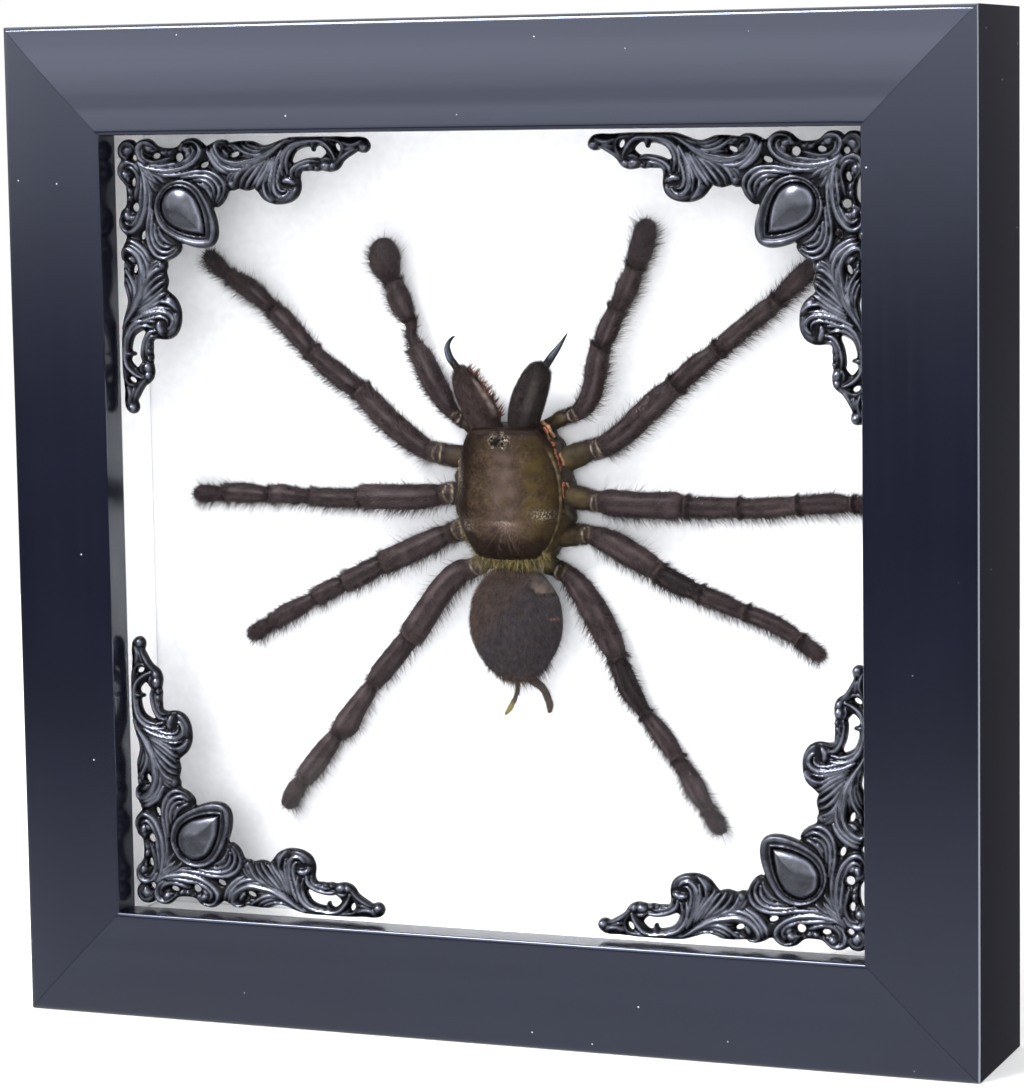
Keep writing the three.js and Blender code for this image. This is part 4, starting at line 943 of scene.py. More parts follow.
class Limb:
    """A smoothed limb: its middle line, radius, and the directions along, across and toward the front."""

    def __init__(self, stations, step=0.3, inset=SKIN_INSET, tip=1.1, depth_share=0.94):
        path = smooth_path(stations, step)
        self.middle = path[:, [0, 2, 1]]  # x, depth, z
        self.reach = np.r_[0, np.cumsum(np.linalg.norm(np.diff(self.middle, axis=0), axis=1))]
        self.length = self.reach[-1]
        radius = np.maximum(path[:, 3] / 2 - inset, 0.05)
        left = np.clip((self.reach - (self.length - tip)) / tip, 0, 1)
        self.radius = radius * np.sqrt(np.maximum(1 - left**2, 0.002))
        self.along = np.gradient(self.middle, self.reach, axis=0)
        self.along /= np.linalg.norm(self.along, axis=1, keepdims=True)
        front = np.array([0.0, -1.0, 0.0])
        self.across = np.cross(front, self.along)
        self.across /= np.linalg.norm(self.across, axis=1, keepdims=True)
        self.front = np.cross(self.along, self.across)
        self.depth_share = depth_share

    def at(self, reach, name):
        values = getattr(self, name)
        if values.ndim == 1:
            return np.interp(reach, self.reach, values)
        return np.stack([np.interp(reach, self.reach, values[:, k]) for k in range(3)], -1)

    def outward(self, reach, turn):
        """Direction away from the middle line; a quarter turn faces the front."""
        across, front = self.at(reach, "across"), self.at(reach, "front")
        return np.cos(turn)[:, None] * across + np.sin(turn)[:, None] * front

    def leaning(self, reach, turn, lean):
        """Directions that run along the limb and stand off its skin by an angle in radians."""
        lean = lean[:, None]
        return self.at(reach, "along") * np.cos(lean) + self.outward(reach, turn) * np.sin(lean)

    def surface(self, reach, turn, grow=0.0):
        out = self.outward(reach, turn)
        r = (self.at(reach, "radius") + grow)[:, None]
        squash = 1 - (1 - self.depth_share) * np.abs(np.sin(turn))[:, None]
        return self.at(reach, "middle") + out * r * squash

    def nearest(self, x, z):
        return self.reach[np.argmin(np.hypot(self.middle[:, 0] - x, self.middle[:, 2] - z))]


def wrapped(reach, turn, radius):
    """Points on a plain cylinder, so that a pattern of waves meets itself round a limb."""
    return np.stack([reach, radius * np.cos(turn), radius * np.sin(turn)], -1)


def tube(name, limb, sides, material, replaces, swell=None):
    """The limb's skin as a closed mesh. Also returns each point's place along, around and in space."""
    turn = np.linspace(0, 2 * np.pi, sides, endpoint=False)
    reach, around = (a.ravel() for a in np.meshgrid(limb.reach, turn, indexing="ij"))
    grow = np.zeros(len(reach)) if swell is None else swell(reach, around)
    points = limb.surface(reach, around, grow)
    piece = add_piece(name, place_points(points), web_faces(len(limb.reach), sides), material, replaces)
    return piece, reach, around, points


print("joints marked:", sum(len(places) for places in JOINTS.values()))

# %% [markdown]
# Blender can also grow hair as curves, but here every hair has to hold up as a mesh of its own, and a
# flat strip would vanish when it is seen from its edge. So a hair is a closed needle with three sides. A
# straight one has four points, and a drooping one is bent once and has seven.

# %% Needles for hair
HAIR_POINTS, BENT_HAIR_POINTS = 4, 7


def needles(roots, ways, lengths, radius, droop=None, seed=0):
    """Hairs as closed three-sided needles, bent once where a droop is given. Returns points and triangles."""
    count = len(roots)
    rng = np.random.default_rng(seed)
    ways = ways / np.linalg.norm(ways, axis=1, keepdims=True)
    helper = rng.normal(size=(count, 3))
    a = np.cross(ways, helper)
    a /= np.linalg.norm(a, axis=1, keepdims=True)
    b = np.cross(ways, a)
    turn = np.arange(3) * 2 * np.pi / 3
    ring = np.cos(turn)[None, :, None] * a[:, None] + np.sin(turn)[None, :, None] * b[:, None]
    lengths = np.broadcast_to(lengths, count)[:, None]
    radius = np.broadcast_to(radius, count)[:, None, None]
    base = roots[:, None] + ring * radius
    if droop is None:
        tip = roots + ways * lengths
        points = np.concatenate([base, tip[:, None]], 1)
        pattern = np.array([[0, 2, 1], [0, 1, 3], [1, 2, 3], [2, 0, 3]])
    else:
        middle = (roots + ways * lengths * 0.5 + droop * lengths * 0.12)[:, None] + ring * radius * 0.7
        tip = roots + ways * lengths + droop * lengths * 0.5
        points = np.concatenate([base, middle, tip[:, None]], 1)
        pattern = np.array([[0, 2, 1], [0, 1, 4], [0, 4, 3], [1, 2, 5], [1, 5, 4], [2, 0, 3], [2, 3, 5],
                            [3, 4, 6], [4, 5, 6], [5, 3, 6]])
    step = points.shape[1]
    faces = (pattern[None] + np.arange(count)[:, None, None] * step).reshape(-1, 3)
    return points.reshape(-1, 3), faces


def add_hair(name, sets, material):
    """One piece of hair from several sets of needles, each given as points (x, depth, z) and triangles."""
    points, faces, offset = [], [], 0
    for p, f in sets:
        points.append(p)
        faces.append(f + offset)
        offset += len(p)
    points, faces = np.vstack(points), np.vstack(faces)
    return add_piece(name, place_points(points), faces, material, smooth=False, outward=False)


print("points of a hair:", HAIR_POINTS, "straight,", BENT_HAIR_POINTS, "bent")

# %% [markdown]
# The legs are dark warm brown velvet with two bald stripes of bare skin that run along each segment,
# a paler ring of skin at every joint, and olive, half see-through first segments. The finish mixes these
# by numbers stored on the mesh, over a streaky noise that follows the nap, and darkens the first segments
# toward their sides as painted shade.

# %% Leg velvet and hair
def limb_finish(name, dark, middle, light, skin, base):
    material, node = new_finish(name, Roughness=0.62, Specular_IOR_Level=0.15)
    nap = noise(node, 1500, 3, 0.6)
    patches = noise(node, 260, 3, 0.6)
    mixed = reckon(node, "MULTIPLY_ADD", patches, 0.6, reckon(node, "MULTIPLY", nap, 0.45))
    colour = ramp(node, mixed, (0.3, dark), (0.52, middle), (0.78, light))
    colour = blend(node, stored(node, "bald"), colour, skin)
    colour = blend(node, stored(node, "joint"), colour, srgb("#5f5247"))
    coxa = ramp(node, patches, (0.35, base[0]), (0.65, base[1]))
    # painted shade: the olive first segment darkens toward both sides, by the stored shade
    coxa = blend(node, stored(node, "shade"), coxa, srgb("#16120b"))
    colour = blend(node, stored(node, "coxa"), colour, coxa)
    colour = blend(node, stored(node, "deep"), colour, srgb("#0b0708"))
    colour = blend(node, stored(node, "seam"), colour, srgb("#9a8e79"))
    node.link(colour, "Base Color")
    node.link(reckon(node, "MULTIPLY_ADD", stored(node, "bald"), -0.14, 0.66), "Roughness")
    bump(node, nap, 0.00006, 0.8)
    return material


LEG_DARK, LEG_MIDDLE, LEG_LIGHT = srgb("#0e090a"), srgb("#241b1d"), srgb("#3f3335")
LEG_SKIN = limb_finish("leg_velvet_left", LEG_DARK, LEG_MIDDLE, LEG_LIGHT, srgb("#504648"),
                       (srgb("#1b150f"), srgb("#3b3024")))
LEG_SKIN_RIGHT = limb_finish("leg_velvet_right", LEG_DARK, LEG_MIDDLE, LEG_LIGHT, srgb("#4f4345"),
                             (srgb("#211a10"), srgb("#453a24")))


def hair_finish(name, dark, light):
    material, node = new_finish(name, Roughness=0.55, Specular_IOR_Level=0.12)
    colour = ramp(node, noise(node, 900, 2), (0.3, dark), (0.7, light))
    # paler hair toward the ends of segments, and painted sheen on the femurs
    colour = blend(node, stored(node, "paler_ends_and_sheen"), colour, srgb("#5a4e50"))
    # deep: painted shadow at the start of each segment, and the near-black patellas of the dark legs
    node.link(blend(node, stored(node, "deep"), colour, srgb("#0c0606")), "Base Color")
    return material


VELVET_HAIR = hair_finish("short_brown_hair", srgb("#130e10"), srgb("#403538"))
LONG_HAIR = hair_finish("long_grey_hair", srgb("#1b1515"), srgb("#4a4040"))
print("leg finishes ready")

# %% [markdown]
# Dressing a leg takes three steps. The skin is a tube that swells toward each joint and starts narrow
# behind it. The velvet leans toward the tip, thins out over the bald stripes and ends each segment in a
# ragged cuff; just past each cuff it is darkened as painted shadow, and the femur carries a painted sheen.
# The long hairs stand off the sides, more of them below, and half of them droop.

# %% Skin of a leg or palp
DARK_LIMBS = ("leg_3_right", "leg_4_right")  # their second segments are almost black


def flare(gap):
    """A segment widens toward its end, and the next one starts narrow inside that cuff."""
    return np.where(gap > 0, -0.32 * np.exp(-np.abs(gap) / 1.3), 0.24 * np.exp(-np.abs(gap) / 1.6)).sum(1)


def on_segment(reach, ends, length):
    """Which segment each place along a limb is on, and its share of the way along that segment."""
    segment = (reach[:, None] > ends[None]).sum(1)
    bounds = np.r_[0, ends, length]
    return segment, (reach - bounds[segment]) / (bounds[segment + 1] - bounds[segment])


def limb_skin(name, limb, ends, skin, seed):
    def swell(s, a):
        return (0.08 * waves(wrapped(s, a, 2.2), 2.4, seed) + flare(s[:, None] - ends[None, 1:])
                + 0.3 * (1 - rises(s, 1.5, ends[0] - 2.5)) - 0.22 * bell(s - ends[0] + 2.6, 0.5))

    piece, reach, turn, points = tube(name + "_skin", limb, 20, skin, [name], swell)
    joint = bell(reach[:, None] - ends[None] + 0.1, 0.3).max(1)
    joint *= 0.35 + 0.55 * (waves(points, 2.0, seed + 3) > -0.2)
    segment, within = on_segment(reach, ends, limb.length)
    between = (segment > 0) & (segment < len(ends))
    fade = rises(within, 0.06, 0.22) * (1 - rises(within, 0.82, 0.96))
    stripes = bell(turn - math.radians(114), 0.2) + 0.8 * bell(turn - math.radians(60), 0.17)
    patchy = 0.55 + 0.45 * np.clip(waves(points, 5.0, seed + 5) + 0.2, -1, 1)
    darkness = 0.95 if name in DARK_LIMBS else 0.3
    give(piece, "bald", np.clip(stripes * fade * patchy * between, 0, 1) * 0.9)
    give(piece, "deep", (segment == 2) * (1 - 0.7 * np.clip(stripes, 0, 1)) * darkness)
    give(piece, "joint", np.clip(joint, 0, 1) * (np.sin(turn) > -0.4) * 0.4)
    give(piece, "coxa", 1 - rises(reach, ends[0] - 3.4, ends[0] - 2.0))
    # painted shade along the sides of the first segment
    give(piece, "shade", np.abs(np.cos(turn)) ** 3 * 0.85)
    bow = 0.85 * np.maximum(np.sin(turn), 0)
    past = reach - ends[0] + 0.9
    seam = (bell(past - bow, 0.15) + bell(past + bow, 0.13)) * (0.75 + 0.4 * waves(points, 1.3, seed + 7))
    give(piece, "seam", np.clip(seam, 0, 1) * (np.sin(turn) > 0.05) * 0.85)
    return piece


VELVET_PER_MM, CUFF_PER_MM, LONG_PER_MM = 88, 14, 30


def short_hair(name, limb, ends, rng, seed):
    count = int(VELVET_PER_MM * limb.length)
    s = rng.uniform(ends[0] * 0.35, limb.length - 0.15, count)
    a = rng.uniform(-0.35 * np.pi, 1.35 * np.pi, count)
    bare = (s < ends[0] - 1) & (np.sin(a) > 0.5)  # the front of the first segment
    a = np.where(bare, rng.normal(0, 0.4, count), a)
    segment, _ = on_segment(s, ends, limb.length)
    stripe = (np.abs(a - math.radians(112)) < 0.17) | (np.abs(a - math.radians(58)) < 0.12)
    keep = ~(stripe & (segment > 0) & (segment < len(ends)) & (rng.random(count) < 0.8))
    s, a = s[keep], a[keep]
    lean = np.radians(rng.uniform(16, 46, len(s)) + 16 * np.abs(np.cos(a)))
    ways = limb.leaning(s, a, lean) + rng.normal(0, 0.12, (len(s), 3))
    velvet = needles(limb.surface(s, a, -0.06), ways, rng.uniform(0.5, 1.1, len(s)),
                     rng.uniform(0.03, 0.055, len(s)), seed=seed)

    each = int(CUFF_PER_MM * limb.length) // 4
    cuff_s = np.concatenate([e - np.abs(rng.normal(0, 0.3, each)) for e in ends[1:]])
    count = len(cuff_s)
    cuff_a = rng.uniform(-0.2 * np.pi, 1.2 * np.pi, count)
    lean = np.radians(rng.uniform(15, 55, count))
    ways = limb.leaning(cuff_s, cuff_a, lean) + rng.normal(0, 0.15, (count, 3))
    cuffs = needles(limb.surface(cuff_s, cuff_a, -0.05), ways, rng.uniform(0.8, 2.0, count), 0.06,
                    seed=seed + 1)
    hair = add_hair(name + "_velvet", [velvet, cuffs], VELVET_HAIR)

    segment, within = on_segment(s, ends, limb.length)
    cloudy = waves(wrapped(s, a, 2), 2.2, seed + 9)
    # the hair pales toward each segment's end; the band on the femur's front and the paler left femurs are
    # painted sheen
    paler_ends_and_sheen = rises(within, 0.55, 0.9) * (segment > 0) + 0.5 * bell(a - 1.9, 0.45) * (segment == 1)
    paler_ends_and_sheen = paler_ends_and_sheen + 0.8 * (segment == 1) * name.endswith("left")
    paler_ends_and_sheen = np.clip(0.45 * paler_ends_and_sheen + 0.4 * cloudy - 0.05, 0, 1)
    give(hair, "paler_ends_and_sheen", np.r_[np.repeat(paler_ends_and_sheen, HAIR_POINTS), np.zeros(HAIR_POINTS * count)])
    # painted shadow: the velvet darkens at the start of each segment, behind the cuff of the one before; the
    # patella of the dark legs is near-black of itself
    dark = (1 - rises(within, 0.03, 0.22)) * (segment > 1)
    dark = dark + (segment == 2) * (1.3 if name in DARK_LIMBS else 0.2)
    dark = np.clip(0.9 * dark - 0.5 * cloudy - 0.02, 0, 0.9)
    give(hair, "deep", np.r_[np.repeat(dark, HAIR_POINTS), np.full(HAIR_POINTS * count, 0.1)])
    return hair


def long_hair(name, limb, ends, rng, seed):
    """Long hairs, most of them along the limb's lower side; one half droop, the others are straight."""
    count = int(LONG_PER_MM * limb.length)
    s = rng.uniform(ends[0], limb.length - 0.4, count)
    low = rng.random(count) < 0.68
    a = rng.uniform(-0.3, np.pi + 0.3, count)
    along = limb.at(s, "along")
    down = limb.outward(s, np.zeros(count))[:, 2] < 0
    a = np.where(low, rng.normal(np.where(down, 0.0, np.pi), 0.42, count), a)
    lean = np.radians(rng.uniform(42, 82, count))
    ways = limb.leaning(s, a, lean) + rng.normal(0, 0.12, (count, 3))
    droop = along * rng.uniform(0.1, 0.5, (count, 1))
    roots = limb.surface(s, a, -0.05)
    length = rng.uniform(1.2, 3.1, count) * rng.uniform(0.6, 1.25, count)
    radius = rng.uniform(0.026, 0.042, count)
    bent = count // 2
    sets = [needles(roots[:bent], ways[:bent], length[:bent], radius[:bent], droop[:bent], seed=seed + 2),
            needles(roots[bent:], ways[bent:], length[bent:], radius[bent:], seed=seed + 3)]
    for points, _ in sets:
        points[:, 1] = np.minimum(points[:, 1], BOARD_FRONT - 0.02)
    return add_hair(name + "_long_hair", sets, LONG_HAIR)


print("hairs on each mm of a limb:", VELVET_PER_MM, "velvet,", CUFF_PER_MM, "cuffs,", LONG_PER_MM, "long")

# %% Legs and palps
def dress_limb(name, stations, joints, skin, seed):
    inward = np.asarray(stations[0], float) - np.asarray(stations[1], float)
    inward[3] = 0
    inward[:3] *= 2.2 / np.linalg.norm(inward[:2])
    stations = np.vstack([np.asarray(stations[0]) + inward, stations])
    stations[0, 2] += 0.25
    limb = Limb(stations, step=0.34)
    ends = np.array([limb.nearest(x + 1.0, z + 0.25) for x, z in joints])
    piece = limb_skin(name, limb, ends, skin, seed)
    rng = np.random.default_rng(seed)
    hair = short_hair(name, limb, ends, rng, seed)
    strays = long_hair(name, limb, ends, rng, seed)
    return len(piece.data.polygons), len(hair.data.polygons) + len(strays.data.polygons)


for number, (name, stations) in enumerate({**LEGS, **PALPS}.items()):
    lift = PALP_LIFT if name.startswith("palp") else LEG_LIFT
    skin = LEG_SKIN_RIGHT if name.endswith("right") else LEG_SKIN
    made = dress_limb(name, over_board(stations, lift), JOINTS[name], skin, 40 + 10 * number)
    print(name, "skin and hair faces:", made)

# %% [markdown]
# ## The carapace
# The carapace is one hard shield, low and broad, that rises toward the head. It is bare and glossy, with
# a thin pale rim, faint grooves that fan out from a dent behind its middle, and eight small eyes on a
# mound near the front edge. A dense web of rings lets all that be modelled as small changes of depth.

# %% Shape of the shield
CARAPACE_HALF = [(5, 20.5), (7.2, 19.9), (8.8, 17.4), (10.4, 13), (11.1, 8), (11.1, 4), (10.2, 0),
                 (8.2, -3.8),
                 (5.2, -6.2)]
CARAPACE_AXIS, CARAPACE_MIDDLE = 1.0, (1.0, 7.0)
CARAPACE_RINGS = [(0, 12.55), (0.3, 12.8), (0.55, 13.4), (0.76, 14.3), (0.9, 15.4), (0.97, 16.3),
                  (1.0, 17.2)]
HEAD_START, HEAD_RISE = 9.0, 2.6
FOVEA = (1.3, 1.5)
GROOVES = (10, 35, 62, 118, 145, 170, 200, 232, 262, 290, 325, 350)  # bearings in degrees, from the dent
EYES = (0.5, 17.9)
ABDOMEN_HALF = [(3.4, -7.8), (6.6, -10.2), (8.9, -13.6), (9.75, -18), (9.4, -21.6), (7.8, -25.6),
                (5, -28.7),
                (2.4, -30.4)]
ABDOMEN_AXIS, ABDOMEN_MIDDLE = 1.8, (1.8, -18.5)
ABDOMEN_RINGS = [(0, 12.6), (0.35, 13), (0.62, 14), (0.82, 15.3), (0.95, 16.6), (1, 17.8)]


def body_web(half, axis, middle, rings, shares, sides):
    """Points x, z, depth on rings out to a closed outline, with each ring's share of it."""
    loop = [(axis + w, z) for w, z in half] + [(axis - w, z) for w, z in reversed(half)]
    loop = smooth_path(loop, 0.2, closed=True)
    reach = np.linspace(0, len(loop), sides, endpoint=False)
    loop = np.stack([np.interp(reach, np.arange(len(loop) + 1), np.r_[loop[:, k], loop[0, k]])
                     for k in (0, 1)], -1)
    profile = smooth_path(rings, 0.02)
    share, edge = np.meshgrid(shares, np.arange(sides), indexing="ij")
    share, edge = share.ravel(), loop[edge.ravel()]
    x = middle[0] + (edge[:, 0] - middle[0]) * share
    z = middle[1] + (edge[:, 1] - middle[1]) * share
    return x, z, np.interp(share, profile[:, 0], profile[:, 1]), share, loop


def spot(x, z, at, size):
    """1 at a place and falling off round it; size is one number or (across, along)."""
    wide, high = size if hasattr(size, "__len__") else (size, size)
    return np.exp(-(((x - at[0]) / wide) ** 2 + ((z - at[1]) / high) ** 2))


def carapace_depth(x, z, share, depth):
    depth = depth - HEAD_RISE * rises(z, HEAD_START, 20) * share**2
    dx, dz = x - FOVEA[0], z - FOVEA[1]
    away, ray = np.hypot(dx, dz), np.arctan2(dz, dx)
    dent = 0.5 * spot(x, z, FOVEA, (1.5, 0.55)) + 0.22 * spot(x, z, FOVEA, (3.0, 2.2))
    spokes = 0
    for angle in GROOVES:
        aside = turned(ray, math.radians(angle)) * np.maximum(away, 1)
        spokes = spokes + bell(aside, 0.7)
    grooves = 0.13 * spokes * rises(away, 1.5, 3.5) * (1 - rises(share, 0.7, 0.97)) * (z < 13)
    neck = 0
    for way in (-1, 1):
        line = np.abs(way * (x - 1.0) - 3.2 - 0.42 * (z - 6.0)) / 1.1
        neck = neck + 0.28 * np.exp(-(line / 0.85) ** 2) * rises(z, 4.5, 8) * (1 - rises(z, 15.5, 19))
    flat = np.stack([x, z], -1)
    rough = 0.03 * waves(flat, 0.9, 4) + 0.05 * waves(flat, 1.6, 5) + 0.09 * waves(flat, 4.5, 6)
    lip = (0.12 * bell(share - 0.985, 0.01) - 0.08 * bell(share - 0.96, 0.014)) * (z < 17)
    mound = 1.25 * np.maximum(0, 1 - ((x - EYES[0]) / 2.35) ** 2 - ((z - EYES[1]) / 1.65) ** 2) ** 0.6
    return depth + dent + grooves + neck + rough * (1 - share**8) - lip - mound


def close_under(x, z, depth, share, edge, middle, rings):
    """Adds rings below a web, each one the outline drawn in by a share and set at one depth."""
    for ring_share, ring_depth in rings:
        ring = np.asarray(middle) + (edge - middle) * ring_share
        x, z = np.r_[x, ring[:, 0]], np.r_[z, ring[:, 1]]
        depth = np.r_[depth, np.full(len(edge), ring_depth)]
        share = np.r_[share, np.full(len(edge), 1.0)]
    return x, z, depth, share


SHIELD_SHARES = np.r_[np.linspace(0.02, 0.9, 52), np.linspace(0.905, 1.0, 14)]
x, z, depth, share, carapace_edge = body_web(CARAPACE_HALF, CARAPACE_AXIS, CARAPACE_MIDDLE, CARAPACE_RINGS,
                                             SHIELD_SHARES, 200)
depth = carapace_depth(x, z, share, depth)
upper = len(x)  # the points that lie above the rim
x, z, depth, share = close_under(x, z, depth, share, carapace_edge, CARAPACE_MIDDLE,
                                 [(0.985, 18.15), (0.9, 18.3), (0.58, 18.45), (0.56, 18.6), (0.55, 21.6),
                                  (0.35, 22.4), (0.03, 22.6)])
sides = len(carapace_edge)
rows = len(x) // sides
print("carapace web:", rows, "rings of", sides)

# %% [markdown]
# The shell is brown horn under a thin polish. Its colours are laid over each other one at a time, each
# where a number on the mesh says so, as a painter glazes: a painted sheen, lighter in the middle, olive,
# dark (partly painted shade), the fan, reddish, rim, black, and last painted glints.

# %% Glossy shell
SHELL, node = new_finish("carapace_shell", Specular_IOR_Level=0.05)
cloud = noise(node, 330, 5, 0.62)
fine = noise(node, 1700, 4, 0.65)
mixed = reckon(node, "MULTIPLY_ADD", fine, 0.5, reckon(node, "MULTIPLY", cloud, 0.5))
colour = ramp(node, mixed, (0.36, srgb("#180f0a")), (0.5, srgb("#2f241a")), (0.66, srgb("#493d2c")))
# painted sheen: the middle of the shell is made paler where it faces the room
colour = blend(node, stored(node, "painted_sheen"), colour, srgb("#554843"))
colour = blend(node, stored(node, "olive"), colour, srgb("#42371a"))
# dark: the shell's own dark left band and rear, plus painted shade at the edges and on the front slope
colour = blend(node, stored(node, "dark"), colour, srgb("#150c09"))
colour = blend(node, stored(node, "fan"), colour, srgb("#75665c"))
colour = blend(node, stored(node, "reddish"), colour, srgb("#7a5f58"))
colour = blend(node, stored(node, "rim"), colour, srgb("#85795a"))
colour = blend(node, stored(node, "black"), colour, srgb("#070505"))
# painted glints: pale grains where the polished shell would catch the light
glint_grain = ramp(node, noise(node, 2600, 2, 0.8), (0.49, 0.0), (0.58, 1.0))
colour = blend(node, reckon(node, "MULTIPLY", glint_grain, stored(node, "painted_glint")), colour, srgb("#b9b0a2"))
node.link(colour, "Base Color")
polish = reckon(node, "MULTIPLY_ADD", stored(node, "rough"), -0.1, 0.26)
node.link(reckon(node, "MULTIPLY_ADD", cloud, 0.3, polish), "Roughness")
bump(node, mixed, 0.0003, 0.9)
print("shell:", SHELL.name)

# %% Build the carapace
carapace = add_piece("carapace_shield", place(x, z, depth), web_faces(rows, sides), SHELL,
                     ["carapace"])
flat = np.stack([x, z], -1)
patch = waves(flat, 4.0, 9)
# painted shade: the shell darkens toward its edges, most on the left, and toward the rear rim
painted_edge_shade = (rises(share, 0.62, 0.95) * (0.55 + 0.3 * (x < 1))
          + 0.5 * rises(-z, -1.5, 4.5) * rises(share, 0.35, 0.8))
# painted sheen down the middle of the shell and round the dent
painted_sheen = (spot(x, z, (1.6, 9), (3.2, 9)) + 0.4 * spot(x, z, (1, 1), (5, 3))) * (0.75 + 0.3 * patch)
olive = rises(x, 3.0, 7.5) * (0.6 + 0.4 * patch) * (1 - rises(share, 0.93, 1))
# the left band and the rear are the shell's own dark colour; from z 18.9 the front slope is darkened as
# painted shade
dark = (rises(-x, 4.6, 8.0) * (0.75 + 0.25 * patch) + 0.5 * rises(-z, -0.5, 3.5) * (np.abs(x - 1) < 8)
        + 0.95 * rises(z, 18.9, 19.8) + painted_edge_shade)
reddish = spot(x, z, FOVEA, (2.6, 0.45)) * (0.6 + 0.5 * waves(flat, 0.9, 3))
rim = rises(share, 0.972, 0.985) * (0.65 + 0.4 * waves(flat, 2.0, 12))
give(carapace, "painted_sheen", np.clip(painted_sheen, 0, 1) * 0.75)
give(carapace, "olive", np.clip(olive, 0, 1) * 0.7)
give(carapace, "dark", np.clip(dark, 0, 1) * 0.9)
give(carapace, "reddish", np.clip(reddish, 0, 1) * 0.8)
give(carapace, "rim", np.clip(rim, 0, 1) * np.where(x < 1, 0.9, 0.6) * (1 - rises(z, 14.5, 17.5)))
bearing = np.arctan2(z - FOVEA[1], x - FOVEA[0])
rays = waves(np.stack([16 * np.cos(bearing), 16 * np.sin(bearing)], -1), 1.6, 14)
fan = (spot(x, z, (FOVEA[0], FOVEA[1] - 2.2), (4.2, 3.2)) * np.clip(rays - 0.1, 0, 1)
       + 0.5 * spot(x, z, (3.5, 6), (5, 5)) * np.clip(rays - 0.4, 0, 1))
give(carapace, "fan", np.clip(fan, 0, 1) * 0.33)
give(carapace, "black", np.clip(1.3 * spot(x, z, (EYES[0] - 0.15, EYES[1]), (0.95, 0.95)) - 0.15, 0, 1))
# painted glints: the places where the shell would sparkle
PAINTED_GLINTS = [  # how strong, where, and how wide
    (0.55, (9.0, 3.3), (2.0, 0.9)), (0.4, (-7.2, 1.0), (1.3, 1.2)), (0.6, (-9.0, 11), (0.7, 3.5)),
    (0.8, (-1.1, 18.4), (0.5, 0.7)), (0.8, (2.0, 18.4), (0.6, 0.6)), (0.7, (1.5, 17.0), (0.5, 0.5)),
    (0.7, (-0.7, 16.8), (0.7, 0.3)), (0.6, (1.3, 1.6), (1.8, 0.4)),
]
round_eyes = np.hypot((x - EYES[0]) / 1.75, (z - EYES[1]) / 1.6)
specks = sum(strength * spot(x, z, at, size) for strength, at, size in PAINTED_GLINTS)
# painted glints: a broken pale ring round the eye mound
specks = specks + 0.6 * bell(round_eyes - 0.95, 0.3) * np.clip(0.35 + waves(flat, 1.3, 17), 0, 1)
give(carapace, "painted_glint", np.clip(specks, 0, 1) * 0.8)
give(carapace, "rough", np.clip(spot(x, z, (9.0, 3.3), (2.2, 1.3)) + spot(x, z, (-7, 1), (1.2, 1.0)), 0, 1))
print("carapace:", len(carapace.data.polygons), "faces")

# %% Eight eyes
# each eye: x and z from the middle of the mound, and its radius
EYE_SPOTS = [(-0.42, 0.35, 0.34), (0.42, 0.35, 0.34), (-1.15, 0.6, 0.34), (1.15, 0.6, 0.34),
             (-1.1, -0.35, 0.32),
             (1.1, -0.35, 0.32), (-0.5, -0.75, 0.24), (0.5, -0.75, 0.24)]
BLACK_GLOSS, node = new_finish("fang_black", Specular_IOR_Level=0.18)
colour = ramp(node, noise(node, 500, 3), (0.3, srgb("#040405")), (0.7, srgb("#0b0b0e")))
node.link(blend(node, stored(node, "gleam"), colour, srgb("#7d8698")), "Base Color")
node.link(reckon(node, "MULTIPLY_ADD", noise(node, 900, 2), 0.12, 0.1), "Roughness")


def bead_points(radius, rows=9, sides=14):
    lift = np.linspace(-np.pi / 2, np.pi / 2, rows + 2)[1:-1]
    turn = np.linspace(0, 2 * np.pi, sides, endpoint=False)
    l, t = (a.ravel() for a in np.meshgrid(lift, turn, indexing="ij"))
    points = radius * np.stack([np.cos(l) * np.cos(t), -np.sin(l), np.cos(l) * np.sin(t)], -1)
    return points, web_faces(rows, sides)


def add_beads(name, beads, material):
    """Rounded beads (x, depth, z, radius) as one piece."""
    points, quads, caps, offset = [], [], [], 0
    for bx, bd, bz, radius in beads:
        p, faces = bead_points(radius)
        points.append(p + (bx, bd, bz))
        quads.append(faces[0] + offset)
        caps += [faces[1] + offset, faces[2] + offset]
        offset += len(p)
    faces = [np.vstack(quads), np.vstack(caps)]
    return add_piece(name, place_points(np.vstack(points)), faces, material)


def shield_depth(px, pz):
    return depth[np.argmin((x[:upper] - px) ** 2 + (z[:upper] - pz) ** 2)]


add_beads("eyes", [(EYES[0] + ex, shield_depth(EYES[0] + ex, EYES[1] + ez) + 0.05, EYES[1] + ez, r)
                   for ex, ez, r in EYE_SPOTS], BLACK_GLOSS)
print("eyes:", len(EYE_SPOTS))

# %% [markdown]
# ## The abdomen
# The abdomen is a soft bag under short black-brown velvet. It has shrunk a little in drying: at its front
# right a bald flap has folded over, and a small slit shows at its side. The skin is a web like the
# carapace, and the velvet is thousands of short needles that all lie toward the rear.

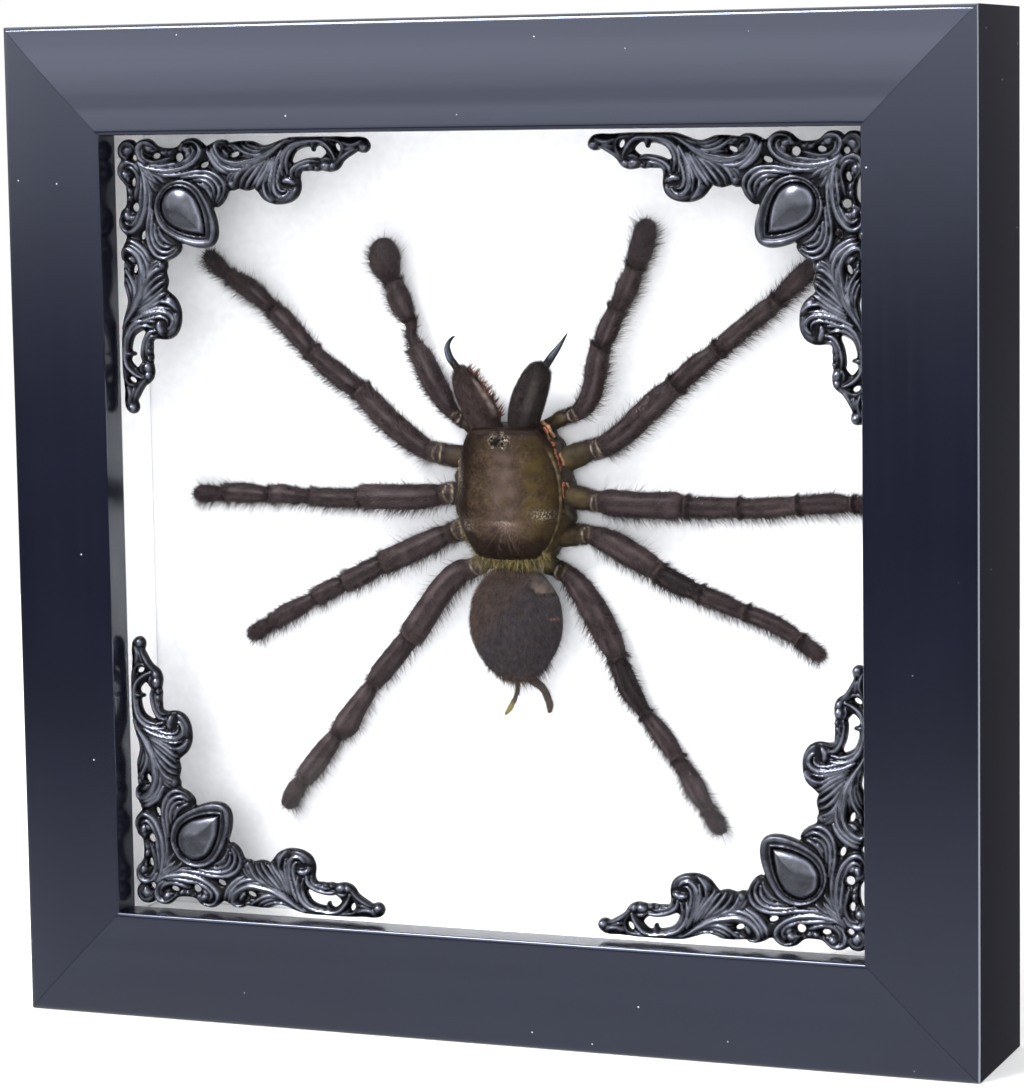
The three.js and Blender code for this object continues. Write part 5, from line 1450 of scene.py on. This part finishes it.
# %% Skin of the abdomen
BAG_SHARES = np.r_[np.linspace(0.02, 0.9, 46), np.linspace(0.91, 1.0, 8)]
ax, az, ad, ashare, abdomen_edge = body_web(ABDOMEN_HALF, ABDOMEN_AXIS, ABDOMEN_MIDDLE, ABDOMEN_RINGS,
                                            BAG_SHARES, 170)
ax, az, ad, ashare = close_under(ax, az, ad, ashare, abdomen_edge, ABDOMEN_MIDDLE,
                                 [(0.985, 18.7), (0.93, 19.8), (0.8, 21.2), (0.55, 22.8), (0.03, 23.3)])
above = ashare < 0.999
FLAP = np.array([(5.6, -8.9), (8.6, -9.6), (11.2, -12.5), (7.6, -12.9), (5.9, -11.2)])
aflat = np.stack([ax, az], -1)
in_flap = depth_within(aflat, FLAP, 3.0)
flap = rises(in_flap + 0.35 * waves(aflat, 1.4, 33), -0.5, 0.6) * above
shaded_crease = bell(in_flap + 0.35, 0.3) * rises(-az, 11.2, 12.6) * above
slit = bell(az + 17.8, 0.22) * rises(ax, 9.3, 10.0) * (1 - rises(ax, 11.2, 11.5)) * above
fold = bell(az + 13.9 + 0.1 * ax, 0.5) * rises(ax, 6, 9)
ad = ad + 0.12 * waves(aflat, 5.5, 31) + 0.05 * waves(aflat, 2.0, 32) + 0.3
ad = ad + 0.55 * shaded_crease - 0.35 * flap + 0.3 * slit + 0.2 * fold
acount = len(abdomen_edge)
arows = len(ax) // acount

VELVET, node = new_finish("abdomen_velvet", Roughness=0.85, Sheen_Weight=0.15, Specular_IOR_Level=0.2)
nap = noise(node, 1300, 4, 0.65)
mixed = reckon(node, "MULTIPLY_ADD", nap, 0.5, reckon(node, "MULTIPLY", noise(node, 240, 3), 0.5))
colour = ramp(node, mixed, (0.3, srgb("#1f1b1d")), (0.55, srgb("#302b2e")), (0.8, srgb("#403b3f")))
colour = blend(node, stored(node, "band"), colour, srgb("#241914"))
bald = ramp(node, noise(node, 500, 3), (0.3, srgb("#3a322e")), (0.7, srgb("#5d514b")))
colour = blend(node, stored(node, "flap"), colour, bald)
# painted shade: the fold line round the flap is darkened
colour = blend(node, stored(node, "shaded_crease"), colour, srgb("#100c0b"))
colour = blend(node, stored(node, "slit"), colour, srgb("#b98468"))
node.link(colour, "Base Color")
bump(node, nap, 0.00012, 0.9)

abdomen = add_piece("abdomen_skin", place(ax, az, ad), web_faces(arows, acount), VELVET,
                    ["abdomen"])
give(abdomen, "band", rises(az, -11.6, -9.0) * (1 - flap))
give(abdomen, "flap", flap * 0.9)
give(abdomen, "shaded_crease", np.clip(shaded_crease, 0, 1) * 0.8)
give(abdomen, "slit", np.clip(slit, 0, 1))
print("abdomen:", len(abdomen.data.polygons), "faces")

# %% [markdown]
# The velvet is picked at random from the web's own points, more thickly toward the rim, where the points
# lie further apart, and hardly at all on the flap and in the slit. A ragged tail and a brown band at the
# front are set by themselves, because their hairs lie another way.

# %% Velvet of the abdomen
ABDOMEN_HAIRS = 17000


def web_normals(x, z, d, rows, columns):
    p = np.stack([x, d, z], -1).reshape(rows, columns, 3)
    down = np.gradient(p, axis=0)
    over = np.roll(p, -1, 1) - np.roll(p, 1, 1)
    n = np.cross(down, over).reshape(-1, 3)
    n /= np.maximum(np.linalg.norm(n, axis=1, keepdims=True), 1e-9)
    return n * np.sign(-(n[:, 1:2]) + 1e-9)


rng = np.random.default_rng(77)
normals = web_normals(ax, az, ad, arows, acount)
front = np.flatnonzero(above)
weight = ashare[front] * (1 - 0.97 * np.clip(flap[front] + slit[front], 0, 1))
pick = rng.choice(front, ABDOMEN_HAIRS, p=weight / weight.sum())
jitter = rng.normal(0, 0.14, (len(pick), 2))
roots = np.stack([ax[pick] + jitter[:, 0], ad[pick] + 0.05, az[pick] + jitter[:, 1]], -1)
rear = np.array([0.0, 0.1, -1.0])
outward = np.stack([ax[pick] - ABDOMEN_MIDDLE[0], 0 * ax[pick], az[pick] - ABDOMEN_MIDDLE[1]], -1) / 10
ways = rear * 0.9 + outward * 0.45 + normals[pick] * 0.5 + rng.normal(0, 0.16, (len(pick), 3))
short = needles(roots, ways, rng.uniform(0.6, 1.2, len(pick)), rng.uniform(0.034, 0.058, len(pick)), seed=1)

count = 1500
tail_x = ABDOMEN_AXIS + rng.uniform(-6.5, 6.5, count)
tail_z = -29.9 + 0.1 * (tail_x - ABDOMEN_AXIS) ** 2 + rng.uniform(0, 1.2, count)
roots = np.stack([tail_x, rng.uniform(16.8, 19.5, count), tail_z], -1)
ways = np.stack([0.06 * (tail_x - ABDOMEN_AXIS) + rng.normal(0, 0.3, count), rng.normal(-0.05, 0.2, count),
                 -np.ones(count)], -1)
ragged = needles(roots, ways, rng.uniform(1.6, 3.9, count) * rng.uniform(0.5, 1.1, count), 0.05,
                 droop=np.tile([0.2, 0, -0.3], (count, 1)), seed=2)

count = 1500
front_x = ABDOMEN_AXIS - 1.2 + rng.normal(0, 3.2, count)
roots = np.stack([front_x, 16.6 + rng.uniform(-1.4, 1.0, count), -8.6 - rng.uniform(0, 2.2, count)], -1)
ways = np.stack([rng.normal(0, 0.35, count), -0.45 + rng.normal(0, 0.2, count), -np.ones(count)], -1)
band = needles(roots, ways, rng.uniform(0.8, 1.7, count), 0.035, seed=3)
BLACK_HAIR, node = new_finish("abdomen_hair", Roughness=0.7, Specular_IOR_Level=0.15)
colour = ramp(node, noise(node, 900, 2), (0.3, srgb("#2f2b2d")), (0.7, srgb("#474246")))
warm = ramp(node, noise(node, 900, 2), (0.3, srgb("#392b25")), (0.7, srgb("#56463f")))
node.link(blend(node, stored(node, "brown"), colour, warm), "Base Color")
velvet = add_hair("abdomen_hair", [short, ragged, band], BLACK_HAIR)
spots = np.empty(len(velvet.data.vertices) * 3)
velvet.data.vertices.foreach_get("co", spots)
hx, _, hz = (spots.reshape(-1, 3) * 1000 - [0, 0, FACE_MIDDLE]).T
brown = rises(hz - 1.1 * (hx - ABDOMEN_AXIS), -19, -11) + rises(-hz, 28.5, 30.5)
give(velvet, "brown", np.clip(brown + 0.35 * waves(np.stack([hx, hz], -1), 3.0, 35), 0, 1) * 0.85)
print("abdomen hair:", len(velvet.data.polygons), "faces")

# %% [markdown]
# ## Jaws, fangs and spinnerets
# The jaws are thick velvety cones. The left one shows a bald streak along its inner side and a comb of
# rusty bristles; each ends in a glossy black fang. At the rear two thin spinnerets stick out, ringed and
# olive at their tips.

# %% Jaws
JAW_BASE = (srgb("#2f2919"), srgb("#534a2e"))
JAW_LEFT = limb_finish("jaw_velvet_left", srgb("#150e0d"), srgb("#281d1d"), srgb("#403331"), srgb("#83756f"),
                       JAW_BASE)
# the right jaw's streak colour is a painted sheen
JAW_RIGHT = limb_finish("jaw_velvet_right", srgb("#120d0d"), srgb("#1e1817"), srgb("#302927"),
                        srgb("#3a3433"), JAW_BASE)
JAW_HAIR_LEFT = hair_finish("jaw_hair_left", srgb("#1a1212"), srgb("#493b3b"))
JAW_HAIR_RIGHT = hair_finish("jaw_hair_right", srgb("#141011"), srgb("#383131"))
JAW_HAIRS, COMB_BRISTLES = 6500, 130


def dress_jaw(name, skin, hair, streak_turn, streak_from, olive_turn, seed):
    stations = np.asarray(JAWS[name], float)
    forth = (stations[1] - stations[0])[:2]
    first = stations[0].copy()
    first[:2] -= forth / np.linalg.norm(forth) * 2.4
    first[3] -= 0.6
    limb = Limb(np.vstack([first, stations]), tip=1.6, inset=0.3, depth_share=0.98)
    piece, reach, turn, points = tube(name + "_skin", limb, 34, skin, [name],
                                      lambda s, a: 0.05 * waves(wrapped(s, a, 3), 3.5, seed))
    # a pale streak along one side: bare skin on the left jaw, a painted sheen on the right one
    streak = bell(turned(turn, streak_turn), 0.24)
    streak *= (rises(reach, streak_from, streak_from + 2)
               * (1 - rises(reach, limb.length - 4.0, limb.length - 2.4)))
    give(piece, "bald", np.clip(streak * (0.75 + 0.35 * waves(points, 1.6, seed)), 0, 1))
    give(piece, "coxa", 0.7 * bell(turned(turn, olive_turn), 0.3) * (1 - rises(reach, 5, 9)))

    rng = np.random.default_rng(seed)
    s = rng.uniform(1.8, limb.length - 0.1, JAW_HAIRS)
    a = rng.uniform(-0.4 * np.pi, 1.4 * np.pi, JAW_HAIRS)
    keep = ~((np.abs(turned(a, streak_turn)) < 0.26) & (rng.random(JAW_HAIRS) < 0.85))
    s, a = s[keep], a[keep]
    lean = np.radians(rng.uniform(12, 32, len(s)))
    ways = limb.leaning(s, a, lean) + rng.normal(0, 0.1, (len(s), 3))
    velvet = needles(limb.surface(s, a, -0.06), ways, rng.uniform(0.5, 1.1, len(s)),
                     rng.uniform(0.025, 0.045, len(s)), seed=seed)
    add_hair(name + "_velvet", [velvet], hair)
    return limb


left_jaw = dress_jaw("chelicera_left", JAW_LEFT, JAW_HAIR_LEFT, math.radians(160), 2.5, math.radians(25), 301)
# on the right jaw the streak is painted sheen
dress_jaw("chelicera_right", JAW_RIGHT, JAW_HAIR_RIGHT, math.radians(112), 5.0, math.radians(196), 302)

rng = np.random.default_rng(303)
s = rng.uniform(2.6, left_jaw.length - 0.6, COMB_BRISTLES)
a = rng.normal(math.radians(196), 0.2, COMB_BRISTLES)
lean = np.radians(rng.uniform(40, 85, COMB_BRISTLES))
ways = left_jaw.leaning(s, a, lean) + rng.normal(0, 0.15, (COMB_BRISTLES, 3))
bristles = needles(left_jaw.surface(s, a, -0.1), ways, rng.uniform(0.8, 2.5, COMB_BRISTLES), 0.12,
                   droop=left_jaw.at(s, "along") * 0.3, seed=9)
RUSTY = hair_finish("rusty_bristles", srgb("#33201a"), srgb("#6f493d"))
add_hair("chelicera_left_comb", [bristles], RUSTY)
print("comb bristles:", COMB_BRISTLES)

# %% Fangs and spinnerets
for name, stations in FANGS.items():
    stations = np.asarray(stations, float)
    back = (stations[0] - stations[1])[:3] / np.linalg.norm((stations[0] - stations[1])[:2])
    base = np.r_[stations[0, :3] + back * 1.2, stations[0, 3] * 1.05]
    limb = Limb(np.vstack([base, stations]), step=0.15, inset=0.02, tip=0.35)
    made, reach, turn, _ = tube(name + "_gloss", limb, 24, BLACK_GLOSS, [name])
    gleam = bell(turn - math.radians(80), 0.2) + 0.6 * bell(turn - math.radians(125), 0.12)
    gleam = gleam * rises(reach, 1.4, 2.6) * (1 - rises(reach, limb.length * 0.6, limb.length * 0.85))
    give(made, "gleam", gleam * 0.6)
    print(made.name, len(made.data.polygons), "faces")

SPINNERET_HAIRS = 260
SPINNERET, node = new_finish("spinneret_skin", Roughness=0.6)
ringed = noise(node, 900, 3)
colour = ramp(node, ringed, (0.3, srgb("#1a1410")), (0.7, srgb("#3a2e25")))
colour = blend(node, stored(node, "olive"), colour, srgb("#6f6636"))
node.link(colour, "Base Color")
bump(node, ringed, 0.00006)
for number, (name, stations) in enumerate(SPINNERETS.items()):
    stations = np.asarray(stations, float) * (1, 1, 1, 1.1 if number == 0 else 1.3)
    first = stations[0] + (stations[0] - stations[1]) * 0.8
    first[3] = stations[0, 3]
    limb = Limb(np.vstack([first, stations]), step=0.15, inset=0.05, tip=0.5)
    piece, reach, _, _ = tube(name + "_skin", limb, 16, SPINNERET, [name],
                              lambda s, a: -0.09 * bell(s % 1.9 - 0.95, 0.16))
    give(piece, "olive", rises(reach / limb.length, 0.5, 0.72) * (0.85 if number == 0 else 0.0))
    rng = np.random.default_rng(400 + number)
    s = rng.uniform(0.5, limb.length * (0.6, 0.97)[number], SPINNERET_HAIRS)
    a = rng.uniform(0, 2 * np.pi, SPINNERET_HAIRS)
    ways = limb.at(s, "along") + 0.6 * limb.outward(s, a)
    short = needles(limb.surface(s, a, -0.03), ways, rng.uniform(0.4, 0.9, SPINNERET_HAIRS), 0.03,
                    seed=number)
    add_hair(name + "_hair", [short], VELVET_HAIR)
print("spinnerets:", len(SPINNERETS))

# %% [markdown]
# ## Fringe and membranes
# Dark folded skin joins the carapace to the leg bases, and a narrow waist joins it to the abdomen. A
# fringe of yellow-olive hair grows from under the rear rim and over the first segments of the hind legs.
# Between the rim and the legs on the right, dried skin shows orange-red.

# %% Side skin and waist
from_middle = carapace_edge - CARAPACE_MIDDLE
RIM_BEARING = np.degrees(np.arctan2(from_middle[:, 1], from_middle[:, 0]))
RIM_OUT = from_middle / np.linalg.norm(from_middle, axis=1, keepdims=True)
beside = np.abs(RIM_OUT[:, 0]) ** 0.8
spread = (0.2 + (1.5 + 0.5 * waves(carapace_edge, 4.0, 510)) * beside)[:, None]
LEVELS = [  # how far outside the rim, as a share of the spread or as mm inside it, and the depth
    (-3.5, 18.2), (-0.6, 18.3), (0.45, 18.7), (0.8, 19.3), (1.0, 20.4), (0.9, 21.8), (0.3, 22.6),
    (-3.5, 22.8),
]
ring = [np.column_stack([carapace_edge + RIM_OUT * (spread * share if share > 0 else share),
                         np.full(len(RIM_OUT), level)]) for share, level in LEVELS]
ring = np.vstack(ring)
SIDE_SKIN, node = new_finish("side_skin", Roughness=0.6, Specular_IOR_Level=0.3)
folds = noise(node, 800, 4, 0.65)
colour = ramp(node, folds, (0.3, srgb("#0f0b08")), (0.5, srgb("#1f1810")), (0.72, srgb("#352b1b")))
node.link(colour, "Base Color")
bump(node, folds, 0.0002, 0.9)
skirt = add_piece("side_skin", place(ring[:, 0], ring[:, 1], ring[:, 2]),
                  web_faces(len(LEVELS), len(RIM_OUT)), SIDE_SKIN)
add_beads("waist", [(-0.9, 18.9, -7.2, 1.5), (0.6, 18.6, -7.6, 1.8), (2.4, 18.6, -7.7, 1.8),
                    (4.0, 18.9, -7.3, 1.5)], SIDE_SKIN)
print("side skin:", len(skirt.data.polygons), "faces")

# %% Fringe
rng = np.random.default_rng(500)


def rim_hair(count, turn_low, turn_high, length, scatter, seed, depth=(16.6, 18.6)):
    """Hairs from under the rim between two bearings in degrees; 0 is +x and 90 is the head."""
    bearing = RIM_BEARING % 360
    k = rng.choice(np.flatnonzero((bearing >= turn_low) & (bearing <= turn_high)), count)
    out = RIM_OUT[k]
    start = carapace_edge[k] - out * rng.uniform(-0.1, 1.0, count)[:, None]
    roots = np.stack([start[:, 0], rng.uniform(*depth, count), start[:, 1]], -1)
    ways = np.stack([out[:, 0] + rng.normal(0, scatter, count), -0.18 + rng.normal(0, 0.2, count),
                     out[:, 1] + rng.normal(0, scatter, count)], -1)
    return needles(roots, ways, rng.uniform(*length, count), rng.uniform(0.025, 0.048, count),
                   droop=np.stack([out[:, 0], 0.3 + 0 * out[:, 0], out[:, 1]], -1) * 0.4, seed=seed)


YELLOW_HAIR, node = new_finish("olive_yellow_hair", Roughness=0.5, Specular_IOR_Level=0.35)
colour = ramp(node, stored(node, "pale"), (0.1, srgb("#241b10")), (0.5, srgb("#544726")),
              (0.9, srgb("#a39457")))
node.link(colour, "Base Color")
COXA_HAIR = hair_finish("coxa_hair", srgb("#1a130d"), srgb("#4b3f2b"))
fringe = add_hair("carapace_fringe", [rim_hair(1500, 240, 305, (1.0, 3.4), 0.45, 21, (16.2, 18.0)),
                                      rim_hair(350, 200, 240, (0.6, 1.4), 0.4, 22)],
                  YELLOW_HAIR)
hairs = len(fringe.data.vertices) // BENT_HAIR_POINTS
give(fringe, "pale", np.repeat(rng.random(hairs) ** 1.6, BENT_HAIR_POINTS))
print("fringe:", hairs, "hairs")

COXA_FUZZ = [
    ("leg_3_right", 600), ("leg_4_right", 450), ("leg_3_left", 450), ("leg_4_left", 400), ("leg_2_left", 250),
    ("leg_1_left", 250), ("leg_1_right", 300), ("leg_2_right", 300),
]


def limb_fuzz(name, stations, joint, count, seed):
    limb = Limb(over_board(stations, LEG_LIFT))
    end = limb.nearest(*joint)
    rng = np.random.default_rng(seed)
    s, a = rng.uniform(0.2, end + 0.8, count), rng.uniform(-0.1 * np.pi, 1.1 * np.pi, count)
    ways = limb.at(s, "along") + 0.3 * limb.outward(s, a) + rng.normal(0, 0.25, (count, 3))
    return needles(limb.surface(s, a, -0.04), ways, rng.uniform(0.5, 1.2, count),
                   rng.uniform(0.018, 0.032, count), seed=seed)


fuzz = [limb_fuzz(name, LEGS[name], JOINTS[name][0], count, 60 + k)
        for k, (name, count) in enumerate(COXA_FUZZ)]
fuzz += [rim_hair(900, 300, 345, (0.8, 2.0), 0.4, 23), rim_hair(400, 0, 58, (0.5, 1.4), 0.5, 24)]
made = add_hair("coxa_fuzz", fuzz, COXA_HAIR)
print("coxa hair:", len(made.data.polygons), "faces")
dark = [rim_hair(900, 120, 240, (0.6, 1.6), 0.5, 31, (18.9, 20.6)),
        rim_hair(700, 300, 360, (0.6, 1.6), 0.5, 32, (18.9, 20.6)),
        rim_hair(500, 0, 60, (0.5, 1.2), 0.5, 33, (19.0, 20.6)),
        rim_hair(600, 245, 295, (1.0, 2.2), 0.3, 34, (17.4, 18.8))]
for points, _ in dark:
    points[:, 0] += 1.0 * np.sign(points[:, 0] - 1) * (np.abs(points[:, 0] - 1) > 8)
made = add_hair("side_fuzz", dark, VELVET_HAIR)
print("side hair:", len(made.data.polygons), "faces")

# %% Membranes beside the rim
MEMBRANE, node = new_finish("dried_membrane", Roughness=0.35, Subsurface_Weight=0.2, Subsurface_Scale=0.001)
colour = ramp(node, noise(node, 700, 4, 0.6), (0.3, srgb("#200c07")), (0.5, srgb("#5e2413")),
              (0.72, srgb("#a5512c")))
colour = blend(node, stored(node, "pale"), colour, srgb("#94805c"))
node.link(colour, "Base Color")
bump(node, noise(node, 1200, 3), 0.0001)
STRANDS = [  # name, bearings along the rim in degrees, mm outside it, depth, width, pale
    ("membrane_palp", (50, 68), 1.0, 18.5, 0.75, 0.5),
    ("membrane_rim_high", (45, 62), 0.3, 17.7, 0.6, 0.05),
    ("membrane_rim_middle", (23, 45), 0.2, 17.6, 0.6, 0.0),
    ("membrane_fold_middle", (27, 41), 0.85, 18.4, 0.6, 0.4),
    ("membrane_rim_low", (-4, 16), 0.2, 17.6, 0.5, 0.0),
    ("membrane_fold_low", (2, 13), 0.8, 18.4, 0.45, 0.3),
    ("membrane_left", (138, 158), 0.3, 17.8, 0.5, 0.5),
]
for number, (name, (low_end, high_end), outside, deep, wide, pale) in enumerate(STRANDS):
    part = np.flatnonzero((RIM_BEARING > low_end) & (RIM_BEARING < high_end))
    part = part[np.argsort(RIM_BEARING[part])]
    edge = carapace_edge[part]
    wander = waves(edge, 2.2, 90 + number)
    path = edge + RIM_OUT[part] * (outside + 0.18 * wander)[:, None]
    thickness = wide * (1 + 0.6 * waves(edge, 1.4, 95 + number))
    stations = np.column_stack([path, deep + 0.25 * waves(edge, 2.6, 99 + number), thickness])
    limb = Limb(stations, step=0.15, inset=0.0, tip=0.4)
    piece, _, _, points = tube(name, limb, 12, MEMBRANE, [],
                               lambda s, a: 0.12 * waves(wrapped(s, a, 1), 0.9, 70 + number))
    give(piece, "pale", np.clip(pale + 0.35 * waves(points, 0.9, 80 + number), 0, 1))
print("membranes:", len(STRANDS))

# %% [markdown]
# ## Floor and light
# The frame stands on a pale floor in a bright studio. What the lacquer mirrors is as important as what
# lights it: the rails show bright sky above, a dark band level with the frame, and a pale floor below.
# That band comes from the world, whose brightness depends on the height of the direction, and the room
# behind the frame is dim. One large soft lamp at the upper left gives the shadows a side, and a broad
# one by the camera reaches into the box; it would be a glare on the lacquer, so reflections leave it out.
# A third lamp low on the right only shows in reflections: it draws the thin light line down the frame's
# right corner edge. It stands behind the front, where the glass can't mirror it at anyone.

# %% Floor
PALE_FLOOR, node = new_finish("pale_floor", Roughness=0.9, Specular_IOR_Level=0.1)
node.link(ramp(node, noise(node, 60, 3), (0.2, srgb("#f3f3f3")), (0.8, srgb("#fafafa"))), "Base Color")

FLOOR_FRONT, FLOOR_BACK, FLOOR_HALF = -0.3, 0.6, 0.7
floor_mesh = bpy.data.meshes.new("floor")
floor_mesh.from_pydata([(-FLOOR_HALF, FLOOR_FRONT, 0), (FLOOR_HALF, FLOOR_FRONT, 0),
                        (FLOOR_HALF, FLOOR_BACK, 0), (-FLOOR_HALF, FLOOR_BACK, 0)], [], [(0, 1, 2, 3)])
floor_mesh.materials.append(PALE_FLOOR)
floor = bpy.data.objects.new("floor", floor_mesh)
bpy.context.scene.collection.objects.link(floor)
floor.visible_glossy = False  # the sky table below already says what the lacquer mirrors there
print("floor:", PALE_FLOOR.name)

# %% The light of the room
SKY = [  # elevation in degrees, brightness in front of the frame, and behind it
    (-90, 0.75, 0.5), (-30, 0.72, 0.35), (-20, 0.7, 0.1), (-14, 0.78, 0.07), (-12.5, 0.72, 0.07),
    (-11, 0.48, 0.07), (-9.5, 0.15, 0.07), (-8, 0.03, 0.07), (-4, 0.03, 0.07), (-2.5, 0.17, 0.07),
    (-1, 0.75, 0.08), (1, 1.35, 0.1), (4, 1.6, 0.15), (9, 1.9, 0.5), (16, 2.0, 1.0), (25, 1.5, 1.2),
    (90, 1.2, 1.2),
]
SKY_STRENGTH = 3.0  # a ramp holds no more than 1, so the table is divided by this and the light times it
PLAIN_WHITE = 1.02

world = bpy.data.worlds.new("studio")
bpy.context.scene.world = world
world.use_nodes = True
tree = world.node_tree
way = tree.nodes.new("ShaderNodeTexCoord").outputs["Generated"]
split = tree.nodes.new("ShaderNodeSeparateXYZ")
tree.links.new(way, split.inputs[0])
height = tree.nodes.new("ShaderNodeMapRange")
height.inputs["From Min"].default_value = -1
tree.links.new(split.outputs["Z"], height.inputs["Value"])
behind = tree.nodes.new("ShaderNodeMapRange")
behind.inputs["From Min"].default_value = -0.1
behind.inputs["From Max"].default_value = 0.4
tree.links.new(split.outputs["Y"], behind.inputs["Value"])
sides = []
for column in (1, 2):
    bands = tree.nodes.new("ShaderNodeValToRGB")
    tree.links.new(height.outputs[0], bands.inputs["Fac"])
    while len(bands.color_ramp.elements) < len(SKY):
        bands.color_ramp.elements.new(0.5)
    for element, row in zip(bands.color_ramp.elements, SKY):
        element.position = (math.sin(math.radians(row[0])) + 1) / 2
        element.color = (row[column] / SKY_STRENGTH,) * 3 + (1,)
    sides.append(bands.outputs["Color"])
round_room = tree.nodes.new("ShaderNodeMix")
round_room.data_type = "RGBA"
tree.links.new(behind.outputs[0], round_room.inputs[0])
tree.links.new(sides[0], round_room.inputs[6])
tree.links.new(sides[1], round_room.inputs[7])
background = tree.nodes["Background"]
background.inputs["Strength"].default_value = SKY_STRENGTH
tree.links.new(round_room.outputs[2], background.inputs["Color"])
plain = tree.nodes.new("ShaderNodeBackground")
plain.inputs["Color"].default_value = (1, 1, 1, 1)
plain.inputs["Strength"].default_value = PLAIN_WHITE
seen = tree.nodes.new("ShaderNodeLightPath")
choose = tree.nodes.new("ShaderNodeMixShader")
tree.links.new(seen.outputs["Is Camera Ray"], choose.inputs[0])
tree.links.new(background.outputs[0], choose.inputs[1])
tree.links.new(plain.outputs[0], choose.inputs[2])
tree.links.new(choose.outputs[0], tree.nodes["World Output"].inputs["Surface"])

def soft_lamp(name, where, size, watts):
    """A round lamp that faces the middle of the frame."""
    data = bpy.data.lights.new(name, "AREA")
    data.shape = "DISK"
    data.size = size
    data.energy = watts
    lamp = bpy.data.objects.new(name, data)
    lamp.location = where
    lamp.rotation_euler = (Vector(LIT_PLACE) - Vector(where)).to_track_quat("-Z", "Y").to_euler()
    bpy.context.scene.collection.objects.link(lamp)
    return lamp


LIT_PLACE = (0, 0, 0.1)
soft_lamp("key", (-0.6, -1.0, 1.35), 0.6, 28)
fill = soft_lamp("fill", (0.35, -1.55, 0.2), 1.0, 9)
fill.visible_glossy = False
edge_light = soft_lamp("edge_light", (1.4, 0.6, -0.25), 1.3, 14)
edge_light.visible_diffuse = False
bpy.context.scene.view_settings.view_transform = "Standard"
